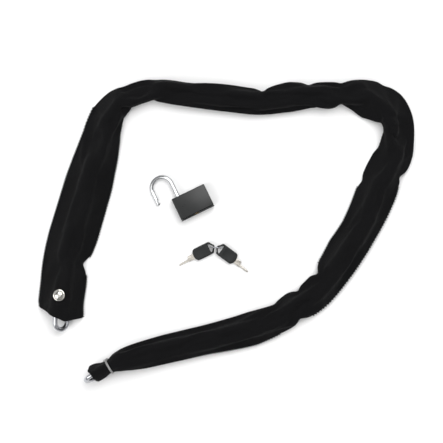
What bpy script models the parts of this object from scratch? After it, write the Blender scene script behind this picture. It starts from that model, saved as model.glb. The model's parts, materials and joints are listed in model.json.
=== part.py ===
"""Chain lock: a round-link chain in a fabric sleeve, with an open padlock and two keys on a ring.

The set lies on a flat surface. Units are metres and +Z is up. The origin is under the middle of the
set, on the surface that it lies on.
"""
import math

import bmesh
import bpy
from mathutils import Matrix, Vector

MM = 0.001
GAP = 0.3 * MM

# The middle of the laid-out set, which goes over the origin
LAYOUT_MIDDLE = (-0.3 * MM, -2.9 * MM)

# Chain: links of round wire
WIRE = 6.0 * MM
LINK_INNER_LENGTH = 43.6 * MM
LINK_INNER_WIDTH = 12.8 * MM
SPACING = 41.45 * MM
LINKS = 28
CHAIN_HEIGHT = 11.6 * MM
ROLL = 45
OWN_ROLLS = {7: 50, 8: -50, 15: 50, 16: -50, 27: 30, 28: -74}

# Sleeve: a fabric tube round the chain, flattened where it lies wide
CLOTH = 1.2 * MM
SLEEVE_TOP = 24.0 * MM
RING_SPACING = 16.0 * MM
RING_POINTS = 14
SWING_SLACK = math.radians(10.5)
MOUTH_ROW = 1
ROUTE_STEPS = 24

# The tied end: the sleeve is drawn together round the last link
NECK_PAST_JOINT = 13.0 * MM
NECK_REACH = 80.0 * MM
NECK_UNDERSIDE = 2.7 * MM
NECK_TOP = 30.0 * MM
TIE_RADIUS = 0.9 * MM
TIE_CLEARANCE = 0.8 * MM
TIED_RING_SPACING = 6.5 * MM

# The sleeve's route as it lies: x, y and half width, in millimetres, from the open end to the tied end
ROUTE = [
    (-201, -117, 24), (-201, -108, 24), (-201, -93, 27), (-200, -74, 28), (-198, -49, 27),
    (-188, -12, 30), (-177, 25, 30), (-166, 62, 28), (-156, 96, 24), (-147, 124, 22),
    (-136, 144, 20), (-121, 159, 17.5), (-101, 167, 14.5), (-79, 170, 14.5), (-57, 167, 14.5),
    (-32, 164, 15), (-2, 160, 16), (29, 156, 16), (53, 156, 18), (79, 161, 18), (103, 162, 15),
    (127, 164, 17), (151, 165, 18), (169, 161, 23), (184, 152, 25), (198, 138, 22),
    (206, 120, 19), (206, 100, 22), (198, 80, 22), (188, 58, 22), (179, 34, 24), (167, 9, 22),
    (151, -20, 23), (134, -45, 22), (117, -68, 20), (97, -87, 16.5), (72, -103, 18),
    (44, -115, 20), (16, -124, 20), (-14, -132, 18), (-45, -139, 18), (-75, -146, 17),
    (-100, -151, 17), (-124, -157, 17.5), (-145, -168.5, 7.9), (-154, -173.5, 11.5),
    (-163, -178.5, 11.5), (-169, -182, 11.5),
]

# Bodies of the chain: the joints between links at which the sleeve's sections part. The section that
# stays still is the third; the ones on each side of it swing on the joint that is nearer to it.
END_LINK_JOINT = 1
SECTION_JOINTS = (4, 9, 13, 18, 22, 27)
STILL_SECTION = 3

# Rivet in the sleeve's open end
RIVET_PLACE = (-202.5 * MM, -79.0 * MM)
RIVET_RADIUS = 6.9 * MM
RIVET_DOME = 2.6 * MM
POST_RADIUS = 1.6 * MM
POST_LENGTH = 3.0 * MM

# Padlock: x across its width, y towards the shackle, z up, from the middle of its body
LOCK_PLACE = (-40.9 * MM, 32.9 * MM)
LOCK_TURN = math.radians(25.9)
LOCK_WIDTH = 43.6 * MM
LOCK_HEIGHT = 29.8 * MM
LOCK_THICKNESS = 14.0 * MM
BASE_PLATE = 1.2 * MM
LEG_OFFSET = 13.0 * MM
ROD = 5.0 * MM
SHACKLE_TRAVEL = 11.5 * MM
BOW_RISE = 17.8 * MM
LEG_INSIDE = 11.7 * MM
COLLAR_RADIUS = 2.9 * MM
LEG_BORE_STEP = 6.0 * MM
FREE_BORE_END = 3.2 * MM
PLUG_X = -2.0 * MM
PLUG_RADIUS = 3.9 * MM
PLUG_END = 0.9 * MM
KEYWAY_END = -1.4 * MM
PIN_STATIONS = (-10.6 * MM, -6.9 * MM, -3.2 * MM)
PIN_RADIUS = 1.2 * MM
CHAMBER_RADIUS = 1.5 * MM
CHAMBER_END = 11.0 * MM
BOLT_BOTTOM = 5.5 * MM
BOLT_TOP = 8.9 * MM
BOLT_TIP = 11.9 * MM
BOLT_TAIL = -4.3 * MM
BOLT_HALF = 3.3 * MM
CRANK = 2.0 * MM
CRANK_RADIUS = 0.9 * MM

# Keys: a runs from the tip to the head, b is across, both in millimetres
BLADE_THICKNESS = 1.4 * MM
HEAD_THICKNESS = 2.8 * MM
HEAD_MIDDLE = 2.1
KEY_TILT = math.radians(4.46)
KEY_TIP_HEIGHT = 0.78 * MM
KEYS = {
    "a": ((-57.7 * MM, -43.1 * MM), math.radians(26.3), False),
    "b": ((26.2 * MM, -51.4 * MM), math.radians(143.4), True),
}
RING_PLACE = (-12.5 * MM, -21.5 * MM)
RING_TURN = math.radians(-5)
RING_RADIUS = 7.7 * MM
RING_WIRE = 1.2 * MM


# ---------------------------------------------------------------- scene, materials and small tools

def clear_scene():
    for thing in list(bpy.data.objects):
        bpy.data.objects.remove(thing, do_unlink=True)


def make_collection(name):
    collection = bpy.data.collections.new(name)
    bpy.context.scene.collection.children.link(collection)
    return collection


def make_material(name, color, roughness, metallic):
    material = bpy.data.materials.new(name)
    material.use_nodes = True
    shader = material.node_tree.nodes["Principled BSDF"]
    shader.inputs["Base Color"].default_value = (*color, 1.0)
    shader.inputs["Roughness"].default_value = roughness
    shader.inputs["Metallic"].default_value = metallic
    material.diffuse_color = (*color, 1.0)
    return material


def add_object(name, data, material, parent=None):
    thing = bpy.data.objects.new(name, data)
    PARTS.objects.link(thing)
    data.materials.append(material)
    thing.parent = parent
    return thing


def add_empty(name, matrix):
    empty = bpy.data.objects.new(name, None)
    PARTS.objects.link(empty)
    empty.matrix_world = matrix
    return empty


def finish_mesh(bm, name):
    mesh = bpy.data.meshes.new(name)
    bm.to_mesh(mesh)
    bm.free()
    mesh.shade_smooth()
    mesh.set_sharp_from_angle(angle=math.radians(40))
    return mesh


def box_mesh(name, low, high):
    bm = bmesh.new()
    bmesh.ops.create_cube(bm, size=1.0)
    size = Vector(high) - Vector(low)
    middle = (Vector(high) + Vector(low)) / 2
    bmesh.ops.scale(bm, vec=size, verts=bm.verts)
    bmesh.ops.translate(bm, vec=middle, verts=bm.verts)
    return finish_mesh(bm, name)


def rod_mesh(name, start, end, radius, sides=16):
    """A cylinder from start to end."""
    start, end = Vector(start), Vector(end)
    along = end - start
    bm = bmesh.new()
    bmesh.ops.create_cone(
        bm, cap_ends=True, segments=sides, radius1=radius, radius2=radius, depth=along.length
    )
    turn = Vector((0, 0, 1)).rotation_difference(along).to_matrix().to_4x4()
    bmesh.ops.transform(bm, matrix=Matrix.Translation((start + end) / 2) @ turn, verts=bm.verts)
    return finish_mesh(bm, name)


def add_cutter(name, mesh, parent=None):
    cutter = bpy.data.objects.new(name, mesh)
    CUTTERS.objects.link(cutter)
    cutter.parent = parent
    cutter.hide_render = True
    cutter.display_type = "WIRE"
    return cutter


def add_boolean(thing, tool, operation="DIFFERENCE"):
    modifier = thing.modifiers.new(f"{operation.lower()}_{tool.name}", "BOOLEAN")
    modifier.operation = operation
    modifier.object = tool
    modifier.solver = "EXACT"


def add_bevel(thing, width, segments=2):
    modifier = thing.modifiers.new("edges", "BEVEL")
    modifier.width = width
    modifier.segments = segments
    modifier.limit_method = "ANGLE"
    modifier.angle_limit = math.radians(40)


def add_turned(name, profile, material, steps=24):
    """A turned solid round local Z. The profile runs down its outer side, from axis to axis."""
    mesh = bpy.data.meshes.new(name)
    edges = [(i, i + 1) for i in range(len(profile) - 1)]
    mesh.from_pydata([(r, 0, z) for r, z in profile], edges, [])
    thing = add_object(name, mesh, material)
    screw = thing.modifiers.new("turn", "SCREW")
    screw.steps = steps
    screw.render_steps = steps
    screw.use_merge_vertices = True
    screw.merge_threshold = 0.00001
    return thing


def wire_curve(name, points, radius, cyclic, resolution):
    curve = bpy.data.curves.new(name, "CURVE")
    curve.dimensions = "3D"
    curve.bevel_depth = radius
    curve.bevel_resolution = resolution
    curve.use_fill_caps = True
    spline = curve.splines.new("POLY")
    spline.points.add(len(points) - 1)
    for point, place in zip(spline.points, points):
        point.co = (*place, 1.0)
    spline.use_cyclic_u = cyclic
    return curve


def flat_curve(name, outlines, thickness):
    """A flat plate: the first outline is its edge and the others are holes."""
    curve = bpy.data.curves.new(name, "CURVE")
    curve.dimensions = "2D"
    curve.fill_mode = "BOTH"
    curve.extrude = thickness / 2
    for outline in outlines:
        spline = curve.splines.new("POLY")
        spline.points.add(len(outline) - 1)
        for point, place in zip(spline.points, outline):
            point.co = (place[0] * MM, place[1] * MM, 0.0, 1.0)
        spline.use_cyclic_u = True
    return curve


def curve_as_mesh(name, curve):
    """The closed mesh of a curve, with its caps welded on."""
    holder = bpy.data.objects.new(name, curve)
    PARTS.objects.link(holder)
    bpy.context.view_layer.update()
    evaluated = holder.evaluated_get(bpy.context.evaluated_depsgraph_get())
    mesh = bpy.data.meshes.new_from_object(evaluated)
    bpy.data.objects.remove(holder, do_unlink=True)
    bm = bmesh.new()
    bm.from_mesh(mesh)
    bmesh.ops.remove_doubles(bm, verts=bm.verts, dist=0.00001)
    bm.to_mesh(mesh)
    bm.free()
    return mesh


def arc(center, radius, start, end, steps):
    """Points on an arc, with angles in degrees."""
    angles = [math.radians(start + (end - start) * i / steps) for i in range(steps + 1)]
    return [(center[0] + radius * math.cos(t), center[1] + radius * math.sin(t)) for t in angles]


def helix(start, end, radius, turns, steps=8):
    """Points of a coil spring from start to end."""
    start, end = Vector(start), Vector(end)
    along = (end - start).normalized()
    side = along.orthogonal().normalized()
    other = along.cross(side)
    count = int(turns * steps)
    points = []
    for i in range(count + 1):
        angle = 2 * math.pi * i / steps
        place = start.lerp(end, i / count)
        points.append(place + radius * (math.cos(angle) * side + math.sin(angle) * other))
    return points


# ---------------------------------------------------------------- the route of chain and sleeve

def smooth_route():
    """Points of the route on a smooth curve: x, y and half width, in metres."""
    rows = [Vector(row) * MM for row in ROUTE]
    rows = [2 * rows[0] - rows[1], *rows, 2 * rows[-1] - rows[-2]]
    points = []
    for i in range(1, len(rows) - 2):
        a, b, c, d = rows[i - 1:i + 3]
        for step in range(ROUTE_STEPS):
            t = step / ROUTE_STEPS
            points.append(
                0.5 * (2 * b + (c - a) * t + (2 * a - 5 * b + 4 * c - d) * t ** 2
                       + (3 * b - a - 3 * c + d) * t ** 3)
            )
    points.append(rows[-2])
    return points


def chain_joints(points):
    """Where the links meet, a pitch apart along the route, and how far along it each one lies."""
    places = [points[0].to_2d()]
    along = [0.0]
    travelled = 0.0
    for before, after in zip(points, points[1:]):
        step = (after.to_2d() - before.to_2d()).length
        while len(places) <= LINKS and (after.to_2d() - places[-1]).length >= SPACING:
            low, high = 0.0, 1.0
            for _ in range(30):
                middle = (low + high) / 2
                if (before.to_2d().lerp(after.to_2d(), middle) - places[-1]).length < SPACING:
                    low = middle
                else:
                    high = middle
            places.append(before.to_2d().lerp(after.to_2d(), low))
            along.append(travelled + step * low)
        travelled += step
    if len(places) <= LINKS:
        onward = (points[-1].to_2d() - points[-2].to_2d()).normalized()
        places.append(places[-1] + onward * SPACING)
        along.append(along[-1] + SPACING)
    return places, along


def ease(t):
    t = min(max(t, 0.0), 1.0)
    return t * t * (3 - 2 * t)


def neck_share(distance):
    """How far the route has risen to the tied neck, from 0 to 1."""
    return ease(1 - (NECK_AT - distance) / NECK_REACH)


def joint_height(number):
    rise = (NECK_TOP + NECK_UNDERSIDE) / 2 - CHAIN_HEIGHT
    return CHAIN_HEIGHT + rise * neck_share(JOINT_ALONG[number])


def route_station(distance):
    """The route's place, direction and half width at a distance along it."""
    travelled = 0.0
    for before, after in zip(POINTS, POINTS[1:]):
        step = (after.to_2d() - before.to_2d()).length
        if travelled + step >= distance:
            break
        travelled += step
    t = (distance - travelled) / step
    direction = (after.to_2d() - before.to_2d()).normalized()
    place = before.to_2d() + direction * (distance - travelled)
    return place, direction, before.z + (after.z - before.z) * min(t, 1.0)


def section_joint(section):
    """The joint that a section of the sleeve swings on, or None for the one that stays still."""
    if section == STILL_SECTION:
        return None
    return SECTION_JOINTS[section - 1 if section < STILL_SECTION else section - 2]


def make_hinges():
    """An upright empty at each joint that a piece of the chain swings on."""
    hinges = {}
    for number in (END_LINK_JOINT, *SECTION_JOINTS):
        place = Matrix.Translation(JOINTS[number].to_3d())
        hinges[number] = add_empty(f"chain_hinge_{number:02d}", place)
    return hinges


def hang(thing, joint):
    """Parent a piece to its hinge and leave it where it is. Joint None leaves it unparented."""
    if joint is not None:
        thing.parent = HINGES[joint]
        thing.matrix_basis = Matrix.Translation(-JOINTS[joint].to_3d()) @ thing.matrix_basis


# ---------------------------------------------------------------- chain

def link_points():
    """A link's centre line: two half circles joined by straight sides, along local X."""
    radius = (LINK_INNER_WIDTH + WIRE) / 2
    center = (LINK_INNER_LENGTH - LINK_INNER_WIDTH) / 2
    right = arc((center, 0), radius, -90, 90, 4)
    left = arc((-center, 0), radius, 90, 270, 4)
    return [(x, y, 0) for x, y in right + left]


def link_matrix(number):
    start = JOINTS[number - 1].to_3d()
    end = JOINTS[number].to_3d()
    start.z = joint_height(number - 1)
    end.z = joint_height(number)
    along = (end - start).normalized()
    side = Vector((0, 0, 1)).cross(along).normalized()
    up = along.cross(side)
    axes = Matrix((along, side, up)).transposed().to_4x4()
    roll = OWN_ROLLS.get(number, ROLL if number % 2 else -ROLL)
    return Matrix.Translation((start + end) / 2) @ axes @ Matrix.Rotation(math.radians(roll), 4, "X")


def make_chain():
    curve = wire_curve("link_wire", link_points(), WIRE / 2, True, 2)
    curve.materials.append(STEEL)
    for number in range(1, LINKS + 1):
        link = bpy.data.objects.new(f"chain_link_{number:02d}", curve)
        PARTS.objects.link(link)
        link.matrix_basis = link_matrix(number)
        section = 1 + sum(number > joint for joint in SECTION_JOINTS)
        hang(link, END_LINK_JOINT if number == 1 else section_joint(section))


# ---------------------------------------------------------------- sleeve

def ring(distance, inset):
    """One ring of the sleeve. inset leans it back from a joint, so that the sections can swing."""
    place, along, half = route_station(distance)
    side = Vector((-along.y, along.x))
    share = neck_share(distance)
    low = NECK_UNDERSIDE * share
    high = SLEEVE_TOP + (NECK_TOP - SLEEVE_TOP) * share
    squareness = 2.7 + 1.3 * min(max((24 * MM - half) / (11.5 * MM), 0.0), 1.0)
    steepest = math.sin(math.pi / 2 - math.pi / RING_POINTS) ** (2 / squareness)
    points = []
    for i in range(RING_POINTS):
        angle = 2 * math.pi * (i + 0.5) / RING_POINTS + math.pi / 2
        across = math.copysign(abs(math.cos(angle)) ** (2 / squareness), math.cos(angle)) * half
        height = math.copysign(abs(math.sin(angle)) ** (2 / squareness), math.sin(angle)) / steepest
        back = abs(across) * math.tan(inset)
        flat = place + side * across + along * back
        points.append((flat.x, flat.y, (low + high) / 2 + height * (high - low) / 2))
    return points


def sleeve_section(name, start, end, lean_start, lean_end, spacing):
    """A length of the fabric tube, open at both ends, with its wall inside the outer surface."""
    count = round((end - start) / spacing)
    rings = []
    for i in range(count + 1):
        lean = lean_start if i == 0 else -lean_end if i == count else 0.0
        rings.append(ring(start + (end - start) * i / count, lean))
    bm = bmesh.new()
    loops = [[bm.verts.new(place) for place in points] for points in rings]
    for before, after in zip(loops, loops[1:]):
        for i in range(RING_POINTS):
            j = (i + 1) % RING_POINTS
            bm.faces.new((before[i], before[j], after[j], after[i]))
    bmesh.ops.recalc_face_normals(bm, faces=bm.faces)
    thing = add_object(name, finish_mesh(bm, name), CLOTH_BLACK)
    wall = thing.modifiers.new("wall", "SOLIDIFY")
    wall.thickness = CLOTH
    wall.offset = -1.0
    return thing


def make_sleeve():
    first = (POINTS[MOUTH_ROW * ROUTE_STEPS].to_2d() - POINTS[0].to_2d()).length
    ends = [first, *(JOINT_ALONG[k] for k in SECTION_JOINTS), SLEEVE_END]
    sections = []
    for number, (start, end) in enumerate(zip(ends, ends[1:]), 1):
        open_end = number == 1
        tied_end = number == len(ends) - 1
        start += 0 if open_end else GAP
        end -= 0 if tied_end else GAP
        name = "sleeve_tied_end" if tied_end else f"sleeve_section_{number}"
        sections.append(
            sleeve_section(name, start, end, 0 if open_end else SWING_SLACK,
                           0 if tied_end else SWING_SLACK,
                           TIED_RING_SPACING if tied_end else RING_SPACING)
        )
        hang(sections[-1], section_joint(number))
    hole = rod_mesh("rivet_hole", (*RIVET_PLACE, SLEEVE_TOP - 3 * MM), (*RIVET_PLACE, SLEEVE_TOP + MM),
                    POST_RADIUS + GAP)
    add_boolean(sections[0], add_cutter("rivet_hole", hole))


def make_rivet():
    """A domed cap whose post goes through the cloth into a washer on the inside."""
    dome = arc((0, 0), 1.0, 90, 0, 6)
    profile = [(RIVET_RADIUS * x, RIVET_DOME * y + GAP) for x, y in dome]
    profile[0] = (0, RIVET_DOME + GAP)
    profile += [(POST_RADIUS, GAP), (POST_RADIUS, -POST_LENGTH), (0, -POST_LENGTH)]
    cap = add_turned("rivet_cap", profile, NICKEL)
    cap.location = (*RIVET_PLACE, SLEEVE_TOP)
    hang(cap, section_joint(1))
    top = -CLOTH - GAP
    bottom = top - 0.8 * MM
    inner = POST_RADIUS + GAP
    outer = 4.6 * MM
    washer = add_turned(
        "rivet_washer", [(inner, top), (outer, top), (outer, bottom), (inner, bottom), (inner, top)],
        NICKEL
    )
    washer.location = (*RIVET_PLACE, SLEEVE_TOP)
    hang(washer, section_joint(1))


def make_tie():
    """The cord round the neck, as one closed ring."""
    place, along, half = route_station(NECK_AT)
    side = Vector((-along.y, along.x, 0))
    grow = TIE_CLEARANCE + TIE_RADIUS
    middle = Vector((place.x, place.y, (NECK_TOP + NECK_UNDERSIDE) / 2))
    tall = (NECK_TOP - NECK_UNDERSIDE) / 2
    points = []
    for i in range(20):
        angle = 2 * math.pi * i / 20
        across = math.copysign(abs(math.cos(angle)) ** 0.5, math.cos(angle)) * (half + grow)
        up = math.copysign(abs(math.sin(angle)) ** 0.5, math.sin(angle)) * (tall + grow)
        points.append(middle + side * across + Vector((0, 0, up)))
    tie = add_object("sleeve_tie", wire_curve("sleeve_tie", points, TIE_RADIUS, True, 2), CORD_GREY)
    hang(tie, section_joint(len(SECTION_JOINTS) + 1))


# ---------------------------------------------------------------- padlock

def lock_rod(name, start, end, radius, sides=16):
    return add_cutter(name, rod_mesh(name, start, end, radius, sides), LOCK_FRAME)


def make_lock_body():
    """The solid body, with the bores of the shackle, the plug, the pins and the bolt."""
    half, thick = LOCK_WIDTH / 2, LOCK_THICKNESS / 2
    top = LOCK_HEIGHT / 2
    bottom = -top + BASE_PLATE + GAP
    body = add_object(
        "lock_body", box_mesh("lock_body", (-half, bottom, -thick), (half, top, thick)), LOCK_BLACK,
        LOCK_FRAME
    )
    add_bevel(body, 1.5 * MM)
    over = MM
    bores = [
        ("heel_bore", (-LEG_OFFSET, bottom - over, 0), (-LEG_OFFSET, LEG_BORE_STEP, 0),
         COLLAR_RADIUS + GAP),
        ("heel_neck", (-LEG_OFFSET, LEG_BORE_STEP - over, 0), (-LEG_OFFSET, top + over, 0),
         ROD / 2 + GAP),
        ("toe_bore", (LEG_OFFSET, FREE_BORE_END, 0), (LEG_OFFSET, top + over, 0), ROD / 2 + GAP),
        ("plug_bore", (PLUG_X, bottom - over, 0), (PLUG_X, PLUG_END + GAP, 0), PLUG_RADIUS + GAP),
        ("crank_well", (PLUG_X, 0, 0), (PLUG_X, BOLT_BOTTOM, 0), CRANK + CRANK_RADIUS + GAP),
    ]
    for name, start, end, radius in bores:
        add_boolean(body, lock_rod(name, start, end, radius))
    for number, station in enumerate(PIN_STATIONS, 1):
        chamber = lock_rod(f"chamber_{number}", (PLUG_X, station, 0), (CHAMBER_END, station, 0),
                           CHAMBER_RADIUS, 12)
        add_boolean(body, chamber)
    channel = box_mesh(
        "bolt_channel", (BOLT_TAIL - 4.9 * MM, BOLT_BOTTOM - GAP, -BOLT_HALF - GAP),
        (LEG_OFFSET, BOLT_TOP + GAP, BOLT_HALF + GAP)
    )
    add_boolean(body, add_cutter("bolt_channel", channel, LOCK_FRAME))


def make_base_plate():
    """The plate under the body, which closes the heel bore and shows the plug's face."""
    half, thick = LOCK_WIDTH / 2, LOCK_THICKNESS / 2
    bottom = -LOCK_HEIGHT / 2
    plate = add_object(
        "base_plate",
        box_mesh("base_plate", (-half, bottom, -thick), (half, bottom + BASE_PLATE, thick)),
        LOCK_BLACK, LOCK_FRAME
    )
    add_bevel(plate, 0.4 * MM, 1)
    hole = lock_rod("plate_hole", (PLUG_X, bottom - MM, 0), (PLUG_X, bottom + 3 * MM, 0),
                    PLUG_RADIUS + GAP)
    add_boolean(plate, hole)


def make_plug():
    """The plug that the key turns. A crank on its inner end draws the bolt back."""
    bottom = -LOCK_HEIGHT / 2
    plug = add_object(
        "plug", rod_mesh("plug", (0, bottom, 0), (0, PLUG_END, 0), PLUG_RADIUS), BRASS, LOCK_FRAME
    )
    plug.location = (PLUG_X, 0, 0)
    crank = lock_rod("crank", (PLUG_X, PLUG_END - 0.5 * MM, CRANK),
                     (PLUG_X, BOLT_BOTTOM + 1.7 * MM, CRANK), CRANK_RADIUS, 10)
    add_boolean(plug, crank, "UNION")
    keyway = box_mesh("keyway", (PLUG_X - 1.9 * MM, bottom - MM, -MM),
                      (PLUG_X + 1.6 * MM, KEYWAY_END, MM))
    add_boolean(plug, add_cutter("keyway", keyway, LOCK_FRAME))
    for number, station in enumerate(PIN_STATIONS, 1):
        bore = lock_rod(f"plug_pin_bore_{number}", (PLUG_X, station, 0),
                        (PLUG_X + PLUG_RADIUS + MM, station, 0), CHAMBER_RADIUS, 12)
        add_boolean(plug, bore)


def make_pins():
    """Three stacks beside the plug: a key pin, a driver pin and a coil spring in each."""
    shear = PLUG_X + PLUG_RADIUS
    for number, station in enumerate(PIN_STATIONS, 1):
        spans = {
            f"key_pin_{number}": (PLUG_X + 1.8 * MM, shear - 0.15 * MM, BRASS),
            f"driver_pin_{number}": (shear + GAP, shear + 3.3 * MM, STEEL),
        }
        for name, (start, end, material) in spans.items():
            mesh = rod_mesh(name, (0, 0, 0), (end - start, 0, 0), PIN_RADIUS, 12)
            pin = add_object(name, mesh, material, LOCK_FRAME)
            pin.location = (start, station, 0)
        wire = 0.2 * MM
        points = helix((shear + 3.6 * MM + wire, station, 0), (CHAMBER_END - GAP - wire, station, 0),
                       0.85 * MM, 4)
        name = f"pin_spring_{number}"
        add_object(name, wire_curve(name, points, wire, False, 1), SPRING_STEEL, LOCK_FRAME)


def make_bolt():
    """The bolt that locks the shackle's free leg, with its spring behind it."""
    low = (BOLT_TAIL, BOLT_BOTTOM, -BOLT_HALF)
    high = (BOLT_TIP, BOLT_TOP, BOLT_HALF)
    bolt = add_object("locking_bolt", box_mesh("locking_bolt", low, high), STEEL, LOCK_FRAME)
    add_bevel(bolt, 0.3 * MM, 1)
    slot = box_mesh(
        "crank_slot",
        (PLUG_X - CRANK_RADIUS - 0.8 * MM, BOLT_BOTTOM - MM, -CRANK_RADIUS - GAP),
        (PLUG_X + CRANK_RADIUS + GAP, BOLT_BOTTOM + 2.1 * MM, CRANK + CRANK_RADIUS + GAP)
    )
    add_boolean(bolt, add_cutter("crank_slot", slot, LOCK_FRAME))
    middle = (BOLT_BOTTOM + BOLT_TOP) / 2
    wire = 0.25 * MM
    points = helix((BOLT_TAIL - 4.9 * MM + GAP + wire, middle, 0), (BOLT_TAIL - GAP - wire, middle, 0),
                   1.2 * MM, 3)
    add_object("bolt_spring", wire_curve("bolt_spring", points, wire, False, 1), SPRING_STEEL,
               LOCK_FRAME)


def shackle_points():
    """The rod's centre line, seen closed: the heel leg at x = 0 and the toe leg at +x."""
    top = LOCK_HEIGHT / 2
    bow = arc((LEG_OFFSET, top + BOW_RISE), LEG_OFFSET, 180, 0, 8)
    heel = (0, top - LEG_INSIDE)
    toe = (2 * LEG_OFFSET, top + 0.6 * MM)
    return [(x, y, 0) for x, y in [heel, *bow, toe]]


def make_shackle():
    """The shackle, raised and swung out, until its toe leg rests on the surface."""
    drop = LOCK_THICKNESS / 2 - ROD / 2 - 0.25 * MM
    swung = math.pi - math.asin(drop / (2 * LEG_OFFSET))
    frame = add_empty("shackle_axis", LOCK_FRAME.matrix_world
                      @ Matrix.Translation((-LEG_OFFSET, 0, 0)) @ Matrix.Rotation(swung, 4, "Y"))
    mesh = curve_as_mesh("shackle", wire_curve("shackle", shackle_points(), ROD / 2, False, 4))
    shackle = add_object("shackle", mesh, CHROME, frame)
    heel_end = LOCK_HEIGHT / 2 - LEG_INSIDE
    collar = rod_mesh("collar", (0, heel_end + 0.1 * MM, 0), (0, heel_end + 2.4 * MM, 0),
                      COLLAR_RADIUS)
    add_boolean(shackle, add_cutter("collar", collar, frame), "UNION")
    notch_middle = (BOLT_BOTTOM + BOLT_TOP) / 2 + SHACKLE_TRAVEL
    notch_depth = BOLT_TIP + GAP - LEG_OFFSET + 2 * LEG_OFFSET
    notch = box_mesh("notch", (LEG_OFFSET + 8 * MM, notch_middle - 2.1 * MM, -4 * MM),
                     (notch_depth, notch_middle + 2.1 * MM, 4 * MM))
    add_boolean(shackle, add_cutter("notch", notch, frame))


def make_shackle_spring():
    """The follower disc under the heel, and the coil spring that pushes it up."""
    heel_end = LOCK_HEIGHT / 2 - LEG_INSIDE
    top = heel_end - GAP
    bottom = top - 1.3 * MM
    disc = rod_mesh("spring_follower", (0, bottom, 0), (0, top, 0), COLLAR_RADIUS)
    follower = add_object("spring_follower", disc, STEEL, LOCK_FRAME)
    follower.location = (-LEG_OFFSET, 0, 0)
    wire = 0.35 * MM
    floor = -LOCK_HEIGHT / 2 + BASE_PLATE
    points = helix((-LEG_OFFSET, floor + GAP + wire, 0), (-LEG_OFFSET, bottom - GAP - wire, 0),
                   2.2 * MM, 4.5)
    add_object("shackle_spring", wire_curve("shackle_spring", points, wire, False, 1), SPRING_STEEL,
               LOCK_FRAME)


def make_padlock():
    make_lock_body()
    make_base_plate()
    make_plug()
    make_pins()
    make_bolt()
    make_shackle()
    make_shackle_spring()


# ---------------------------------------------------------------- keys

def blade_outline():
    """The key's blade: a cut narrow part, a wide shoulder and a tang that the head holds."""
    bottom, shoulder_bottom = -1.2, -1.8
    cuts = [(11.6, 1.7), (10.6, 0.9), (9.6, 0.9), (8.6, 1.5), (7.6, 1.5), (6.8, 0.6), (5.8, 0.6),
            (4.8, 1.3), (3.8, 1.3), (3.0, 0.7), (1.8, 0.7)]
    tang = [(29.5, shoulder_bottom), (29.5, 4.4), (19.5, 4.9), (14.2, 4.9)]
    return [(0.0, -0.5), (0.9, bottom), (12.2, bottom), (12.9, shoulder_bottom), *tang, *cuts,
            (0.0, 0.1)]


def head_outlines():
    """The key's head, round where the blade leaves it and pointed at its loop, and the loop's window."""
    half = 7.7
    round_end = [(25.2 - 4.6 * math.sin(t), HEAD_MIDDLE + half * math.cos(t))
                 for t in (math.radians(15 * i) for i in range(13))]
    loop = [(43.9, HEAD_MIDDLE - half), (46.2, HEAD_MIDDLE - 4.6), (48.9, HEAD_MIDDLE - 1.2),
            (48.9, HEAD_MIDDLE + 1.2), (46.2, HEAD_MIDDLE + 4.6), (43.9, HEAD_MIDDLE + half)]
    window = [(42.1, HEAD_MIDDLE + 5.6), (42.1, HEAD_MIDDLE - 5.6), (44.6, HEAD_MIDDLE - 3.9),
              (47.1, HEAD_MIDDLE - 0.6), (47.1, HEAD_MIDDLE + 0.6), (44.6, HEAD_MIDDLE + 3.9)]
    return [round_end + loop, window]


def make_key(letter, place, heading, turned_over, ring_axis):
    matrix = Matrix.Translation((*place, KEY_TIP_HEIGHT)) @ Matrix.Rotation(heading, 4, "Z")
    matrix = matrix @ Matrix.Rotation(-KEY_TILT, 4, "Y")
    if turned_over:
        matrix = matrix @ Matrix.Rotation(math.pi, 4, "X")
    frame = add_empty(f"key_{letter}_frame", ring_axis.matrix_world.inverted() @ matrix)
    frame.parent = ring_axis
    blade = curve_as_mesh(f"key_{letter}_blade",
                          flat_curve(f"key_{letter}_blade", [blade_outline()], BLADE_THICKNESS))
    add_object(f"key_{letter}_blade", blade, KEY_STEEL, frame)
    mesh = curve_as_mesh(f"key_{letter}_head",
                         flat_curve(f"key_{letter}_head", head_outlines(), HEAD_THICKNESS))
    head = add_object(f"key_{letter}_head", mesh, HEAD_BLACK, frame)
    slot_half = BLADE_THICKNESS / 2 + GAP
    slot = box_mesh(f"key_{letter}_slot", (15 * MM, -2.1 * MM, -slot_half),
                    (29.8 * MM, 5.2 * MM, slot_half))
    add_boolean(head, add_cutter(f"key_{letter}_slot", slot, frame))


def make_key_ring():
    """The wire ring, which stands on edge through both key loops, with its axis along local Z."""
    place = Vector((*RING_PLACE, RING_RADIUS + RING_WIRE / 2 + 0.05 * MM))
    ring_axis = add_empty("key_ring_axis", Matrix.Translation(place)
                          @ Matrix.Rotation(RING_TURN, 4, "Z") @ Matrix.Rotation(math.pi / 2, 4, "X"))
    points = [(x, y, 0) for x, y in arc((0, 0), RING_RADIUS, 0, 360, 28)[:-1]]
    add_object("key_ring", wire_curve("key_ring", points, RING_WIRE / 2, True, 2), STEEL, ring_axis)
    return ring_axis


def make_keys():
    ring_axis = make_key_ring()
    for letter, (place, heading, turned_over) in KEYS.items():
        make_key(letter, place, heading, turned_over, ring_axis)


def move_over_origin():
    for thing in [*PARTS.objects, *CUTTERS.objects]:
        if thing.parent is None:
            thing.location.x -= LAYOUT_MIDDLE[0]
            thing.location.y -= LAYOUT_MIDDLE[1]


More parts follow.
